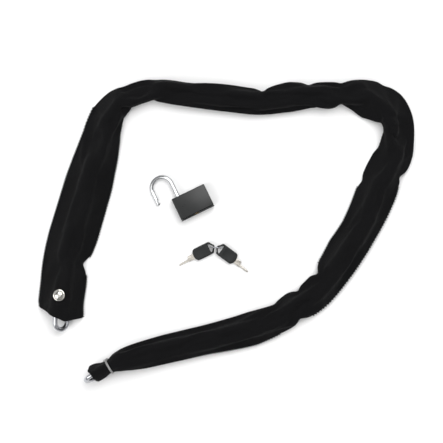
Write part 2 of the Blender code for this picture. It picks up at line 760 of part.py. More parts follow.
clear_scene()
PARTS = make_collection("chain_lock")
CUTTERS = make_collection("cutters")
STEEL = make_material("zinc_steel", (0.62, 0.63, 0.64), 0.32, 1.0)
CHROME = make_material("chrome", (0.75, 0.76, 0.77), 0.12, 1.0)
NICKEL = make_material("nickel", (0.70, 0.69, 0.67), 0.18, 1.0)
BRASS = make_material("brass", (0.72, 0.56, 0.28), 0.3, 1.0)
SPRING_STEEL = make_material("spring_steel", (0.45, 0.46, 0.48), 0.35, 1.0)
KEY_STEEL = make_material("key_steel", (0.60, 0.59, 0.56), 0.35, 1.0)
CLOTH_BLACK = make_material("black_cloth", (0.012, 0.012, 0.014), 0.85, 0.0)
CORD_GREY = make_material("grey_cord", (0.20, 0.20, 0.21), 0.5, 0.0)
LOCK_BLACK = make_material("black_enamel", (0.02, 0.02, 0.023), 0.3, 0.0)
HEAD_BLACK = make_material("black_plastic", (0.02, 0.022, 0.023), 0.5, 0.0)

POINTS = smooth_route()
JOINTS, JOINT_ALONG = chain_joints(POINTS)
NECK_AT = JOINT_ALONG[SECTION_JOINTS[-1]] + NECK_PAST_JOINT
SLEEVE_END = JOINT_ALONG[SECTION_JOINTS[-1]] + SPACING - 3.0 * MM
HINGES = make_hinges()
LOCK_FRAME = add_empty(
    "padlock_frame",
    Matrix.Translation((*LOCK_PLACE, LOCK_THICKNESS / 2)) @ Matrix.Rotation(LOCK_TURN, 4, "Z")
)

make_chain()
make_sleeve()
make_rivet()
make_tie()
make_padlock()
make_keys()
move_over_origin()
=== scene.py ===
"""Looks of the chain lock: a link chain in a cloth sleeve, with an open padlock and two keys.

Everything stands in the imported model's own frame, in metres, with +Z up.
"""
import json
import math

import bmesh
import bpy
import numpy as np
from mathutils import Matrix, Vector
from mathutils.bvhtree import BVHTree


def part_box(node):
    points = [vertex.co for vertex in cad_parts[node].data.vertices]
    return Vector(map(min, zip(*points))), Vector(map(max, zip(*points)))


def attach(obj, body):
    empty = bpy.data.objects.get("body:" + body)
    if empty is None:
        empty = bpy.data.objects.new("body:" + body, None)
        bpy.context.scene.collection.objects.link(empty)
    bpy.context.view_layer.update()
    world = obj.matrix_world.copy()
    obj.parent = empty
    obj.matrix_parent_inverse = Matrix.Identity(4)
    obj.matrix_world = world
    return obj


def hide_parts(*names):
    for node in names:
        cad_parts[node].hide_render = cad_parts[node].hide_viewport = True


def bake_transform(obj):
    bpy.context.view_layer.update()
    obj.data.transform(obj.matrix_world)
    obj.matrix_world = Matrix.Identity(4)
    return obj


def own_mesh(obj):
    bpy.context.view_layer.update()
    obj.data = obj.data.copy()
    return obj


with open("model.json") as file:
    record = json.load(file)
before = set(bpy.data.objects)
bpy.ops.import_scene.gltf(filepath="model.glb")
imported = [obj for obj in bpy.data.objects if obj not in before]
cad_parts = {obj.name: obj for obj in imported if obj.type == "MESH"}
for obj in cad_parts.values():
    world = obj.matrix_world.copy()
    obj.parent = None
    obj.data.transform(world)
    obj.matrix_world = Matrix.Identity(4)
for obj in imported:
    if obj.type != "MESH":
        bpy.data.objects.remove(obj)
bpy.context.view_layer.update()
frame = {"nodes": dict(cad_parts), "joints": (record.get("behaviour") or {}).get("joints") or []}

MM = 0.001
UP = np.array([0, 0, 1])
LEVEL = np.array([1, 1, 0])
AS_MADE = Matrix.Identity(4)

# The view: straight down on the set, from far enough away that the padlock's sides don't show
VIEW_MIDDLE = (-5.9 * MM, 12.9 * MM)
VIEW_HEIGHT = 2.2
VIEW_WIDTH = 540.5 * MM
SENSOR = 36.0
FLOOR_REACH = 6.0

# Grays from the ground up to the top of the dome that lights the set
SKY = ((0.1, 0.1), (0.38, 0.12), (0.5, 1.0), (0.62, 0.9), (0.7, 0.12), (0.84, 0.15))

# Chain
LINKS = 28
PITCH = 41.45 * MM
WIRE = 6.0 * MM
LINK_LENGTH = 43.6 * MM
LINK_WIDTH = 12.8 * MM

# The sleeve's cloth. Places along it are counted in links from the chain's open end.
AROUND = 48
HALF_ROUND = AROUND // 2
RING_STEP = 3.0 * MM
CLOTH_SLACK = 1.05
CLOTH_GIRTH = 122 * MM
MOUTH = 0.12
NECK = 27.31
TUFT_END = 27.87
CROWN = 23.4 * MM
NECK_TOP = 29.4 * MM
NECK_LOW = 3.1 * MM
FLOOR_CLEARANCE = 0.4 * MM
CLOTH_GAP = 1.6 * MM
FLAT_FROM = 15 * MM
FLAT_OVER = 12 * MM
NECK_EASE = 75 * MM
MOUTH_EASE = 34 * MM
HELD_FROM = 26.7
TOP_POINTS = 61
RAY_START = 60 * MM
SIM_SCALE = 20.0
SIM_FRAMES = 26
FARTHEST_MOVE = 8 * MM

# How wide the cloth lies: links along the chain, then millimetres to the left and to the right of it
WIDTHS = [
    (0.0, 27, 26), (0.6, 28, 26), (1.2, 27, 28), (2.0, 28, 28), (2.7, 29.4, 29.4), (4.3, 29, 28.5),
    (5.1, 26.5, 25.5), (5.7, 23.5, 22.5), (6.35, 25.5, 16), (6.8, 21, 13.5), (7.15, 14.5, 13.5),
    (7.6, 15, 13), (8.2, 12.5, 14), (8.7, 12.5, 15.2), (10.2, 16, 16), (11.1, 16, 16), (11.9, 19.3, 18),
    (12.5, 16, 15.5), (13.0, 16, 17.5), (13.5, 15.5, 16.5), (13.9, 19.5, 22), (14.3, 26, 24.6),
    (14.8, 29, 19.5), (15.3, 26.5, 15), (15.8, 22.5, 20), (16.4, 23, 25.5), (17.4, 23.4, 25),
    (18.6, 21, 23), (19.3, 20.7, 24.8), (20.1, 20.4, 21.5), (20.8, 20, 19.5), (21.6, 18, 22),
    (22.3, 18.5, 18.5), (23.0, 21, 20.4), (24.4, 16.5, 19), (25.5, 16.2, 18.2), (26.3, 16, 16.5),
    (26.8, 13.8, 14.4), (27.1, 11.5, 12), (27.25, 8.4, 8.6), (27.37, 8.0, 8.2), (27.5, 9, 9.4),
    (27.65, 9.4, 12.5), (27.85, 9, 13.5), (28.1, 8, 10),
]

# Creases that cross the cloth: where each meets the left and the right edge, in links, how far it pulls
# those edges in, how deep it is on top, and how far it reaches along, in millimetres
CREASES = [
    (1.75, 1.93, 0, 7, 4, 9), (6.15, 6.76, 0, 11, 6, 6), (7.95, 7.8, 1, 3.5, 3.5, 7),
    (11.1, 10.7, 4, 0, 4, 6), (12.45, 12.65, 3.5, 2, 4, 6), (13.4, 13.35, 2.5, 5.5, 5, 5),
    (14.38, 14.1, 3, 0, 4, 5), (15.0, 15.2, 0, 8, 6, 8), (16.65, 16.3, 6, 0, 5, 6),
    (17.0, 17.2, 1, 3, 3, 5), (20.6, 20.36, 0, 7, 5, 6), (21.1, 21.23, 0, 4.5, 4, 6),
    (21.62, 22.1, 5, 2, 5, 6),
]

# Folds that run along the cloth: its start in links and how far across from the left edge it lies there, as
# a share of the width, the same two for its end, its depth in millimetres, and the breadth of its near side
FOLDS = [
    (0.9, 0.60, 5.7, 0.72, 4.5, 0.10), (8.3, 0.44, 11.2, 0.30, 5.0, 0.025),
    (11.5, 0.34, 13.3, 0.52, 4.0, 0.04), (13.9, 0.30, 15.6, 0.55, 4.0, 0.04),
    (16.8, 0.62, 18.8, 0.36, 3.5, 0.05), (18.6, 0.60, 20.5, 0.66, 3.5, 0.04),
    (20.8, 0.35, 22.4, 0.50, 4.0, 0.04), (22.5, 0.64, 26.2, 0.50, 3.0, 0.05),
]

# How much longer the cloth is than the chain's line, so that it lies in folds: the place in links, the factor
CROWDING = [
    (0, 1.0), (5, 1.0), (6, 1.25), (7.3, 1.25), (8.3, 1.1), (9.5, 1.04), (10.5, 1.08), (12, 1.16),
    (13.5, 1.3), (16.5, 1.35), (17.5, 1.12), (19.5, 1.04), (20.5, 1.15), (22, 1.2), (23, 1.04), (28, 1.02),
]


# ---------------------------------------------------------------- general tools

def link_object(name, data, material=None):
    thing = bpy.data.objects.new(name, data)
    bpy.context.scene.collection.objects.link(thing)
    if material is not None:
        data.materials.append(material)
    return thing


def mesh_of(name, bm):
    """A mesh made from a bmesh, which is freed."""
    mesh = bpy.data.meshes.new(name)
    bm.to_mesh(mesh)
    bm.free()
    return mesh


def mesh_points(mesh):
    points = np.empty(len(mesh.vertices) * 3)
    mesh.vertices.foreach_get("co", points)
    return points.reshape(-1, 3)


def level_square(name, reach):
    mesh = bpy.data.meshes.new(name)
    corners = [(-reach, -reach, 0), (reach, -reach, 0), (reach, reach, 0), (-reach, reach, 0)]
    mesh.from_pydata(corners, [], [(0, 1, 2, 3)])
    return mesh


def bridge(bm, loops):
    """Faces from each loop of corners to the next one."""
    for before, after in zip(loops, loops[1:]):
        for k in range(len(before)):
            j = (k + 1) % len(before)
            bm.faces.new((before[k], before[j], after[j], after[k]))


def capped_tube(bm, loops):
    bridge(bm, loops)
    bm.faces.new(loops[0][::-1])
    bm.faces.new(loops[-1])


def joint_named(name):
    return next(joint for joint in frame["joints"] if joint["name"] == name)


def link_node(number):
    return f"chain_link_{number:02d}"


# ---------------------------------------------------------------- view and light

def make_camera():
    data = bpy.data.cameras.new("camera")
    data.sensor_width = SENSOR
    data.lens = SENSOR * VIEW_HEIGHT / VIEW_WIDTH
    data.clip_end = 20
    camera = link_object("camera", data)
    camera.location = (*VIEW_MIDDLE, VIEW_HEIGHT)
    bpy.context.scene.camera = camera


def make_area_light(name, spot, size, power):
    data = bpy.data.lights.new(name, "AREA")
    data.shape = "DISK"
    data.size = size
    data.energy = power
    light = link_object(name, data)
    light.location = spot
    light.rotation_euler = (-Vector(spot)).to_track_quat("-Z", "Y").to_euler()


def make_studio():
    """A white dome, dark towards the ground and in one band, so that bright metal shows its form."""
    world = bpy.data.worlds.new("studio")
    world.use_nodes = True
    tree = world.node_tree
    background = tree.nodes["Background"]
    spot = tree.nodes.new("ShaderNodeTexCoord")
    axes = tree.nodes.new("ShaderNodeSeparateXYZ")
    tree.links.new(spot.outputs["Generated"], axes.inputs[0])
    rise = tree.nodes.new("ShaderNodeValToRGB")
    stops = rise.color_ramp.elements
    stops[0].position, stops[0].color = 0.0, (0.55, 0.55, 0.56, 1)
    stops[1].position, stops[1].color = 0.95, (1.25, 1.25, 1.25, 1)
    for position, value in SKY:
        stop = stops.new(position)
        stop.color = (value, value, value, 1)
    tree.links.new(axes.outputs["Z"], rise.inputs["Fac"])
    tree.links.new(rise.outputs["Color"], background.inputs["Color"])
    background.inputs["Strength"].default_value = 0.85
    bpy.context.scene.world = world


def make_lights():
    make_studio()
    make_area_light("key_light", (0.5, 1.1, 2.2), 2.2, 46)
    make_area_light("fill_light", (-1.4, -0.8, 1.6), 1.8, 22)
    bpy.context.scene.view_settings.view_transform = "Standard"


def make_floor():
    material = bpy.data.materials.new("white_floor")
    material.use_nodes = True
    shader = material.node_tree.nodes["Principled BSDF"]
    shader.inputs["Base Color"].default_value = (0.93, 0.93, 0.93, 1)
    shader.inputs["Roughness"].default_value = 0.9
    link_object("floor", level_square("floor", FLOOR_REACH), material)


# ---------------------------------------------------------------- material tools

class Nodes:
    """A new Principled material and short ways to add nodes to it."""

    def __init__(self, name):
        self.material = bpy.data.materials.new(name)
        self.material.use_nodes = True
        self.tree = self.material.node_tree
        self.shader = self.tree.nodes["Principled BSDF"]

    def add(self, kind, **settings):
        node = self.tree.nodes.new(kind)
        for key, value in settings.items():
            setattr(node, key, value)
        return node

    def link(self, out, into):
        self.tree.links.new(out, into)

    def put(self, value, socket):
        if isinstance(value, bpy.types.NodeSocket):
            self.link(value, socket)
        else:
            socket.default_value = value

    def math(self, operation, a, b=0.0):
        node = self.add("ShaderNodeMath", operation=operation)
        self.put(a, node.inputs[0])
        self.put(b, node.inputs[1])
        return node.outputs[0]

    def noise(self, scale, detail=3.0):
        node = self.add("ShaderNodeTexNoise")
        node.inputs["Scale"].default_value = scale
        node.inputs["Detail"].default_value = detail
        self.link(self.coordinates("Object"), node.inputs["Vector"])
        return node.outputs["Fac"]

    def coordinates(self, kind):
        return self.add("ShaderNodeTexCoord").outputs[kind]

    def ramp(self, value, stops):
        node = self.add("ShaderNodeValToRGB")
        ramp = node.color_ramp
        while len(ramp.elements) < len(stops):
            ramp.elements.new(0.5)
        for element, (position, color) in zip(ramp.elements, stops):
            element.position = position
            element.color = (*color, 1)
        self.link(value, node.inputs["Fac"])
        return node.outputs["Color"]

    def spread(self, value, least, most):
        """A value from 0 to 1, spread from least to most."""
        node = self.add("ShaderNodeMapRange")
        self.link(value, node.inputs["Value"])
        node.inputs["To Min"].default_value = least
        node.inputs["To Max"].default_value = most
        return node.outputs["Result"]

    def bump(self, height, distance, strength=1.0, after=None):
        node = self.add("ShaderNodeBump")
        node.inputs["Strength"].default_value = strength
        node.inputs["Distance"].default_value = distance
        self.link(height, node.inputs["Height"])
        if after is not None:
            self.link(after, node.inputs["Normal"])
        return node.outputs["Normal"]

    def finish(self, **inputs):
        for name, value in inputs.items():
            self.put(value, self.shader.inputs[name.replace("_", " ")])
        return self.material


def gray(value):
    return (value, value, value)


def cloth_material():
    """Black plain weave, whose threads follow the UV in metres of cloth, with worn and creased patches, and
    painted shade that darkens the colour between the threads.
    """
    n = Nodes("woven_black")
    spot = n.add("ShaderNodeSeparateXYZ")
    n.link(n.coordinates("UV"), spot.inputs[0])
    pitch = 1.3 * MM
    across = n.math("DIVIDE", spot.outputs[0], pitch)
    along = n.math("DIVIDE", spot.outputs[1], pitch)
    parity = n.math("PINGPONG", n.math("ADD", n.math("FLOOR", across), n.math("FLOOR", along)), 1.0)
    warp = n.math("SINE", n.math("MULTIPLY", n.math("FRACT", across), math.pi))
    weft = n.math("SINE", n.math("MULTIPLY", n.math("FRACT", along), math.pi))
    thread = n.math("ADD", n.math("MULTIPLY", warp, parity),
                    n.math("MULTIPLY", weft, n.math("SUBTRACT", 1.0, parity)))
    folds = n.bump(n.noise(90.0, 5.0), 1.2 * MM, 0.5)
    normal = n.bump(thread, 0.22 * MM, 0.8, after=folds)
    worn = n.noise(35.0, 6.0)
    # Painted shade: the colour is darker where the threads dip between each other and lighter on their
    # crowns; the worn noise is a real uneven tone.
    weave_shade_and_wear = n.math("MULTIPLY", n.spread(thread, 0.6, 1.25), n.spread(worn, 0.7, 1.3))
    color = n.ramp(n.math("MULTIPLY", weave_shade_and_wear, 0.5), [(0.0, gray(0.001)), (1.0, (0.0085, 0.0085, 0.0095))])
    return n.finish(
        Base_Color=color, Roughness=n.spread(worn, 0.78, 0.92), Normal=normal,
        Sheen_Weight=0.03, Sheen_Roughness=0.4, Specular_IOR_Level=0.1
    )


def metal_material(name, color, roughness, scratch, grime=0.0):
    """Bright metal with fine scratches, uneven roughness and dirt in the hollows of a broad noise."""
    n = Nodes(name)
    broad = n.noise(160.0, 4.0)
    fine = n.noise(2600.0, 2.0)
    dark = tuple(c * (1 - grime) for c in color)
    return n.finish(
        Base_Color=n.ramp(broad, [(0.35, dark), (0.62, color)]), Metallic=1.0,
        Roughness=n.spread(n.noise(420.0, 3.0), roughness * 0.75, roughness * 1.3),
        Normal=n.bump(fine, scratch, 0.35)
    )


def enamel_material():
    """Satin black with a fine orange peel over a slow unevenness."""
    n = Nodes("satin_enamel")
    orange_peel = n.noise(900.0, 2.0)
    uneven = n.bump(n.noise(38.0, 0.0), 0.9 * MM, 1.0)
    worn = n.noise(70.0, 5.0)
    return n.finish(
        Base_Color=n.ramp(worn, [(0.3, (0.005, 0.006, 0.006)), (0.7, (0.010, 0.011, 0.011))]),
        Roughness=n.spread(worn, 0.24, 0.34), Specular_IOR_Level=0.4,
        Normal=n.bump(orange_peel, 0.04 * MM, 0.3, after=uneven)
    )


def plastic_material():
    n = Nodes("grained_plastic")
    grain = n.noise(2200.0, 3.0)
    rubbed = n.noise(120.0, 4.0)
    return n.finish(
        Base_Color=n.ramp(rubbed, [(0.3, (0.006, 0.007, 0.007)), (0.75, (0.012, 0.014, 0.014))]),
        Roughness=n.spread(rubbed, 0.42, 0.58), Specular_IOR_Level=0.3, Normal=n.bump(grain, 0.05 * MM, 0.5)
    )


def cord_material():
    n = Nodes("waxed_cord")
    strands = n.noise(1800.0, 2.0)
    return n.finish(
        Base_Color=n.ramp(strands, [(0.3, gray(0.16)), (0.7, gray(0.42))]), Roughness=0.5,
        Normal=n.bump(strands, 0.15 * MM, 0.6)
    )


# ---------------------------------------------------------------- places read from the frame

def node_points(name):
    return mesh_points(frame["nodes"][name].data)


def principal_frame(name):
    """The middle of a node and its directions, longest first, as columns."""
    points = node_points(name)
    _, directions = np.linalg.eigh(np.cov(points.T))
    directions = directions[:, ::-1]
    local = points @ directions
    middle = directions @ ((local.min(axis=0) + local.max(axis=0)) / 2)
    return middle, directions


def chain_frames():
    """Each link's middle and directions, with the first one along the chain and the third upward."""
    middles, axes = [], []
    for number in range(1, LINKS + 1):
        middle, directions = principal_frame(link_node(number))
        middles.append(middle)
        axes.append(directions)
    for i, directions in enumerate(axes):
        onward = middles[min(i + 1, LINKS - 1)] - middles[max(i - 1, 0)]
        directions[:, 0] *= np.sign(directions[:, 0] @ onward)
        directions[:, 2] *= np.sign(directions[2, 2])
        directions[:, 1] = np.cross(directions[:, 2], directions[:, 0])
    return middles, axes


LINK_MIDDLES, LINK_AXES = chain_frames()
MEETINGS = [LINK_MIDDLES[0] - LINK_AXES[0][:, 0] * PITCH / 2]
MEETINGS += [m + a[:, 0] * PITCH / 2 for m, a in zip(LINK_MIDDLES, LINK_AXES)]


def chain_path(place):
    """The chain's line at a place counted in links: the point and its level direction."""
    last = LINKS - 1
    k = int(min(max(math.floor(place), 0), last))
    t = place - k
    before = MEETINGS[k - 1] if k > 0 else 2 * MEETINGS[0] - MEETINGS[1]
    after = MEETINGS[k + 2] if k < last else 2 * MEETINGS[-1] - MEETINGS[-2]
    a, b, c, d = before, MEETINGS[k], MEETINGS[k + 1], after
    point = 0.5 * (2 * b + (c - a) * t + (2 * a - 5 * b + 4 * c - d) * t ** 2
                   + (3 * b - a - 3 * c + d) * t ** 3)
    slope = 0.5 * ((c - a) + 2 * (2 * a - 5 * b + 4 * c - d) * t + 3 * (3 * b - a - 3 * c + d) * t ** 2)
    slope[2] = 0
    return point, slope / np.linalg.norm(slope)


# ---------------------------------------------------------------- sleeve

def smooth(t):
    t = np.clip(t, 0.0, 1.0)
    return t * t * (3 - 2 * t)


def width_table():
    """The two half widths on a fine grid, with the corners of WIDTHS rounded off."""
    rows = np.array(WIDTHS, float)
    grid = np.arange(0.0, 28.2, 0.02)
    reach = 6
    window = np.exp(-np.linspace(-2, 2, 2 * reach + 1) ** 2)
    window /= window.sum()
    sides = []
    for column in (1, 2):
        raw = np.interp(grid, rows[:, 0], rows[:, column])
        padded = np.pad(raw, reach, mode="edge")
        sides.append(np.convolve(padded, window, mode="valid") * MM)
    return grid, *sides


WIDTH_GRID, LEFT_WIDTH, RIGHT_WIDTH = width_table()


def crease_depths(place, share):
    """How much the creases pull in the left edge, the right edge, and the top, at a share across."""
    left = right = 0.0
    top = np.zeros_like(share)
    for at_left, at_right, pull_left, pull_right, depth, reach in CREASES:
        def fall(where):
            return (1 + ((place - where) * PITCH / (reach * MM)) ** 2) ** -1.6
        left += pull_left * MM * fall(at_left)
        right += pull_right * MM * fall(at_right)
        top += depth * MM * fall(at_left + (at_right - at_left) * share)
    return left, right, top


def fold_depths(place, share):
    """How much the lengthwise folds sink the top: steep on the left and easing out to the right."""
    sunk = np.zeros_like(share)
    for start, share_start, end, share_end, depth, breadth in FOLDS:
        t = (place - start) / (end - start)
        fade = smooth(min(t, 1 - t) * 4)
        line = share_start + (share_end - share_start) * t
        line += 0.018 * math.sin(9 * place) + 0.012 * math.sin(23 * place + 1)
        beyond = share - line
        sunk += depth * MM * fade * smooth(beyond / breadth + 0.5) * np.exp(-np.maximum(beyond, 0) / 0.22)
    return sunk


def even_spacing(line, count):
    """count points evenly spaced along a line of points, without its last point."""
    steps = np.linalg.norm(np.diff(line, axis=0), axis=1)
    travelled = np.concatenate([[0], np.cumsum(steps)])
    wanted = np.linspace(0, travelled[-1], count, endpoint=False)
    return np.column_stack([np.interp(wanted, travelled, line[:, k]) for k in range(line.shape[1])])


def side_profile(t, flatness):
    """Height of the top layer from the middle, t = 0, to the edge, t = 1."""
    full = (1 - t ** 3.4) ** (1 / 2.3)
    tent = (1 + np.cos(math.pi * t ** 1.15)) / 2
    return full + (tent - full) * flatness


def section_outline(place):
    """The cloth's section at a place: across and up, from the left edge over the top and back under."""
    left = np.interp(place, WIDTH_GRID, LEFT_WIDTH)
    right = np.interp(place, WIDTH_GRID, RIGHT_WIDTH)
    share = np.linspace(0, 1, TOP_POINTS)
    pull_left, pull_right, sunk = crease_depths(place, share)
    sunk += fold_depths(place, share)
    left -= pull_left
    right -= pull_right
    neck = smooth(1 - abs(place - NECK) * PITCH / NECK_EASE) if place < NECK else 1.0
    crown = CROWN + (NECK_TOP - CROWN) * neck
    low = FLOOR_CLEARANCE + (NECK_LOW - FLOOR_CLEARANCE) * neck
    across = left - share * (left + right)
    side = np.where(across > 0, left, right)
    flatness = smooth((side - FLAT_FROM) / FLAT_OVER) * (0.4 + 0.6 * smooth(place / 1.6))
    t = np.clip(np.abs(across) / side, 0, 1)
    near_side = np.where(share < 0.5, left, right)
    rim = low + (crown - low) * (0.44 - 0.36 * smooth((near_side - FLAT_FROM) / FLAT_OVER))
    top = rim + (crown - rim) * side_profile(t, flatness) - sunk * (1 - t ** 4) * 0.55
    bottom = rim - (rim - low) * (1 - t ** 5) ** 0.5
    over = np.column_stack([across, top])
    under = np.column_stack([across, bottom])[::-1]
    return np.vstack([even_spacing(over, HALF_ROUND), even_spacing(under, AROUND - HALF_ROUND)])


def gather_folds(place, count):
    """Small folds round the tied neck, as a factor on the distance from the section's middle."""
    angle = np.linspace(0, 2 * math.pi, count, endpoint=False)
    near = math.exp(-((place - NECK) * PITCH / (16 * MM)) ** 2) if place < NECK else 1.0
    beyond = smooth((place - NECK) * PITCH / (10 * MM))
    small = 0.06 * near * (1 - beyond) * (1 + np.cos(11 * angle + 1.3))
    return 1 - small - beyond * (0.11 * (1 + np.cos(5 * angle + 0.6)) + 0.04 * np.cos(9 * angle))


def ring_points(place):
    point, forward = chain_path(place)
    leftward = np.array([-forward[1], forward[0], 0])
    outline = section_outline(place)
    middle = (outline.max(axis=0) + outline.min(axis=0)) / 2
    outline = middle + (outline - middle) * gather_folds(place, AROUND)[:, None]
    base = np.array([point[0], point[1], 0])
    ring = base + outline[:, :1] * leftward + outline[:, 1:] * UP
    angle = np.linspace(0, 2 * math.pi, AROUND, endpoint=False)
    return ring + forward * (mouth_lean(place, outline[:, 0]) + tuft_lean(place, angle))[:, None]


def mouth_lean(place, across):
    """The open end is cut and pulled askew: its left corner stands back from its lowest point."""
    near = smooth(1 - (place - MOUTH) * PITCH / MOUTH_EASE)
    lean = np.interp(across / MM, [-26, -5, 28], [4.5, 0, 17.5])
    return near * lean * MM


def tuft_lean(place, angle):
    """The tied end's rim stands out further in some folds than in others."""
    near = smooth((place - NECK) / (TUFT_END - NECK))
    return near * (1.6 * np.cos(2 * angle + 2.0) + 0.9 * np.cos(5 * angle + 0.6)) * MM


def sleeve_places():
    length = (TUFT_END - MOUTH) * PITCH
    return np.linspace(MOUTH, TUFT_END, round(length / RING_STEP) + 1)


def sleeve_start():
    """The sleeve before it settles, as an array of rings."""
    return np.array([ring_points(place) for place in sleeve_places()])


def tube_faces(rings, around):
    faces = []
    for i in range(rings - 1):
        for j in range(around):
            k = (j + 1) % around
            faces.append((i * around + j, i * around + k, (i + 1) * around + k, (i + 1) * around + j))
    return faces


def unrolled(rings):
    """The cloth at its real size, as a straight tube: what the settling pulls it back towards."""
    steps = np.linalg.norm(np.roll(rings, -1, axis=1) - rings, axis=2).sum(axis=1)
    radius = steps * CLOTH_SLACK / (2 * math.pi)
    crowding = np.interp(sleeve_places(), *zip(*CROWDING))
    along = np.concatenate([[0], np.cumsum((crowding[1:] + crowding[:-1]) / 2)]) * RING_STEP
    angle = -np.linspace(0, 2 * math.pi, AROUND, endpoint=False)
    flat = np.empty_like(rings)
    flat[:, :, 0] = along[:, None]
    flat[:, :, 1] = radius[:, None] * np.cos(angle)
    flat[:, :, 2] = radius[:, None] * np.sin(angle)
    return flat


def add_collider(name, mesh, friction):
    thing = link_object(name, mesh)
    thing.modifiers.new("collision", "COLLISION")
    thing.collision.thickness_outer = 0.5 * MM * SIM_SCALE
    thing.collision.cloth_friction = friction
    return thing


def joined_links():
    joined = bmesh.new()
    for number in range(1, LINKS + 1):
        joined.from_mesh(frame["nodes"][link_node(number)].data)
    return joined


def chain_collider():
    joined = joined_links()
    bmesh.ops.remove_doubles(joined, verts=joined.verts, dist=0.01 * MM)
    bmesh.ops.scale(joined, vec=(SIM_SCALE,) * 3, verts=joined.verts)
    return add_collider("chain_collider", mesh_of("chain_collider", joined), 5)


def hold_weights(places):
    """How firmly each point of the cloth is held where it starts: its two edges and the tied end."""
    weights = np.zeros((len(places), AROUND))
    weights[:, 0] = 1.0
    weights[:, HALF_ROUND] = 1.0
    tied = smooth((places - HELD_FROM) / 0.5)[:, None]
    mouth = 0.7 * smooth(1 - (places - MOUTH) / 0.15)[:, None]
    return np.clip(np.maximum(np.maximum(weights, tied), mouth), 0, 1)


def settle(rings):
    """Let the cloth sink over the chain and crumple to its real length, and read back where it lies."""
    mesh = bpy.data.meshes.new("settling")
    mesh.from_pydata((rings.reshape(-1, 3) * SIM_SCALE).tolist(), [], tube_faces(len(rings), AROUND))
    cloth = link_object("settling", mesh)
    held = cloth.vertex_groups.new(name="held")
    for index, weight in enumerate(hold_weights(sleeve_places()).ravel()):
        if weight > 0:
            held.add([index], float(weight), "REPLACE")
    cloth.shape_key_add(name="Basis")
    real = cloth.shape_key_add(name="real_size")
    real.data.foreach_set("co", (unrolled(rings).reshape(-1, 3) * SIM_SCALE).ravel())
    modifier = cloth.modifiers.new("cloth", "CLOTH")
    settings = dict(
        quality=6, mass=0.25, tension_stiffness=12, compression_stiffness=12, shear_stiffness=4,
        bending_stiffness=0.9, air_damping=2.0, pin_stiffness=1.0, vertex_group_mass="held",
        rest_shape_key=real
    )
    for key, value in settings.items():
        setattr(modifier.settings, key, value)
    modifier.collision_settings.distance_min = 0.4 * MM * SIM_SCALE
    modifier.collision_settings.collision_quality = 2
    modifier.point_cache.frame_start = 1
    modifier.point_cache.frame_end = SIM_FRAMES
    floor = level_square("floor_collider", SIM_SCALE)
    colliders = [chain_collider(), add_collider("floor_collider", floor, 15)]
    scene = bpy.context.scene
    for number in range(1, SIM_FRAMES + 1):
        scene.frame_set(number)
    settled = cloth.evaluated_get(bpy.context.evaluated_depsgraph_get())
    moved = mesh_points(settled.data).reshape(rings.shape) / SIM_SCALE - rings
    for thing in [cloth, *colliders]:
        bpy.data.objects.remove(thing, do_unlink=True)
    scene.frame_set(1)
    far = np.linalg.norm(moved, axis=2, keepdims=True)
    return rings + moved * np.minimum(1, FARTHEST_MOVE / np.maximum(far, 1e-9))


def untangled(rings):
    """Where the inside of a bend crowds the rings into each other, ease them apart again."""
    forward = np.array([chain_path(place)[1] for place in sleeve_places()])[:-1, None, :]
    eased = rings.copy()
    passes, least_step = 60, 0.12 * RING_STEP
    for _ in range(passes):
        progress = ((eased[1:] - eased[:-1]) * forward).sum(axis=2)
        crowded = np.zeros(eased.shape[:2])
        crowded[:-1] += progress < least_step
        crowded[1:] += progress < least_step
        crowded = np.clip(crowded + np.roll(crowded, 1, axis=1) + np.roll(crowded, -1, axis=1), 0, 1)
        between = (eased[:-2] + eased[2:]) / 2
        eased[1:-1] += (between - eased[1:-1]) * 0.5 * crowded[1:-1, :, None]
    return eased


def chain_tree():
    """The links as one tree of triangles to cast rays at, the end link also at its swing's two limits."""
    joined = joined_links()
    swing = joint_named("end_link_swing")
    pivot = Matrix.Translation(swing["pos_m"])
    for limit in swing["range_deg"]:
        turned_link = frame["nodes"][link_node(1)].data.copy()
        turn = Matrix.Rotation(math.radians(limit), 4, swing["axis"])
        turned_link.transform(pivot @ turn @ pivot.inverted())
        joined.from_mesh(turned_link)
        bpy.data.meshes.remove(turned_link)
    tree = BVHTree.FromBMesh(joined)
    joined.free()
    return tree


def chain_reach(points):
    """For each point, from the chain's middle: its direction, its distance, how far the chain comes."""
    tree = chain_tree()
    path = np.array([chain_path(place)[0] for place in np.arange(0.0, LINKS, 0.05)])
    middles = np.array([path[np.argmin(((path - point) ** 2).sum(axis=1))] for point in points])
    outward = points - middles
    reach = np.linalg.norm(outward, axis=1)
    outward /= reach[:, None]
    taken = np.zeros(len(points))
    for index, (middle, direction) in enumerate(zip(middles, outward)):
        start = Vector(middle + direction * RAY_START)
        distance = tree.ray_cast(start, -Vector(direction), RAY_START)[3]
        if distance is not None:
            taken[index] = RAY_START - distance
    return outward, reach, taken


def clear_of_chain(rings):
    """Push the cloth out where it or its neighbours lie within CLOTH_GAP of the chain."""
    shape = rings.shape[:2]
    outward, reach, taken = chain_reach(rings.reshape(-1, 3))
    needed = np.where(taken > 0, taken + CLOTH_GAP, 0).reshape(shape)
    spread = needed.copy()
    for along in (-1, 0, 1):
        for around in (-2, -1, 0, 1, 2):
            neighbour = np.roll(needed, around, axis=1) - 0.5 * MM * (abs(along) + abs(around))
            rows = slice(max(along, 0), shape[0] + min(along, 0))
            source = slice(max(-along, 0), shape[0] + min(-along, 0))
            spread[rows] = np.maximum(spread[rows], neighbour[source])
    push = np.maximum(spread - reach.reshape(shape), 0)
    softened = (np.roll(push, 1, axis=1) + np.roll(push, -1, axis=1) + 2 * push) / 4
    moved = outward.reshape(*shape, 3) * np.maximum(push, softened)[:, :, None]
    cleared = rings + moved
    cleared[:, :, 2] = np.maximum(cleared[:, :, 2], FLOOR_CLEARANCE)
    return cleared


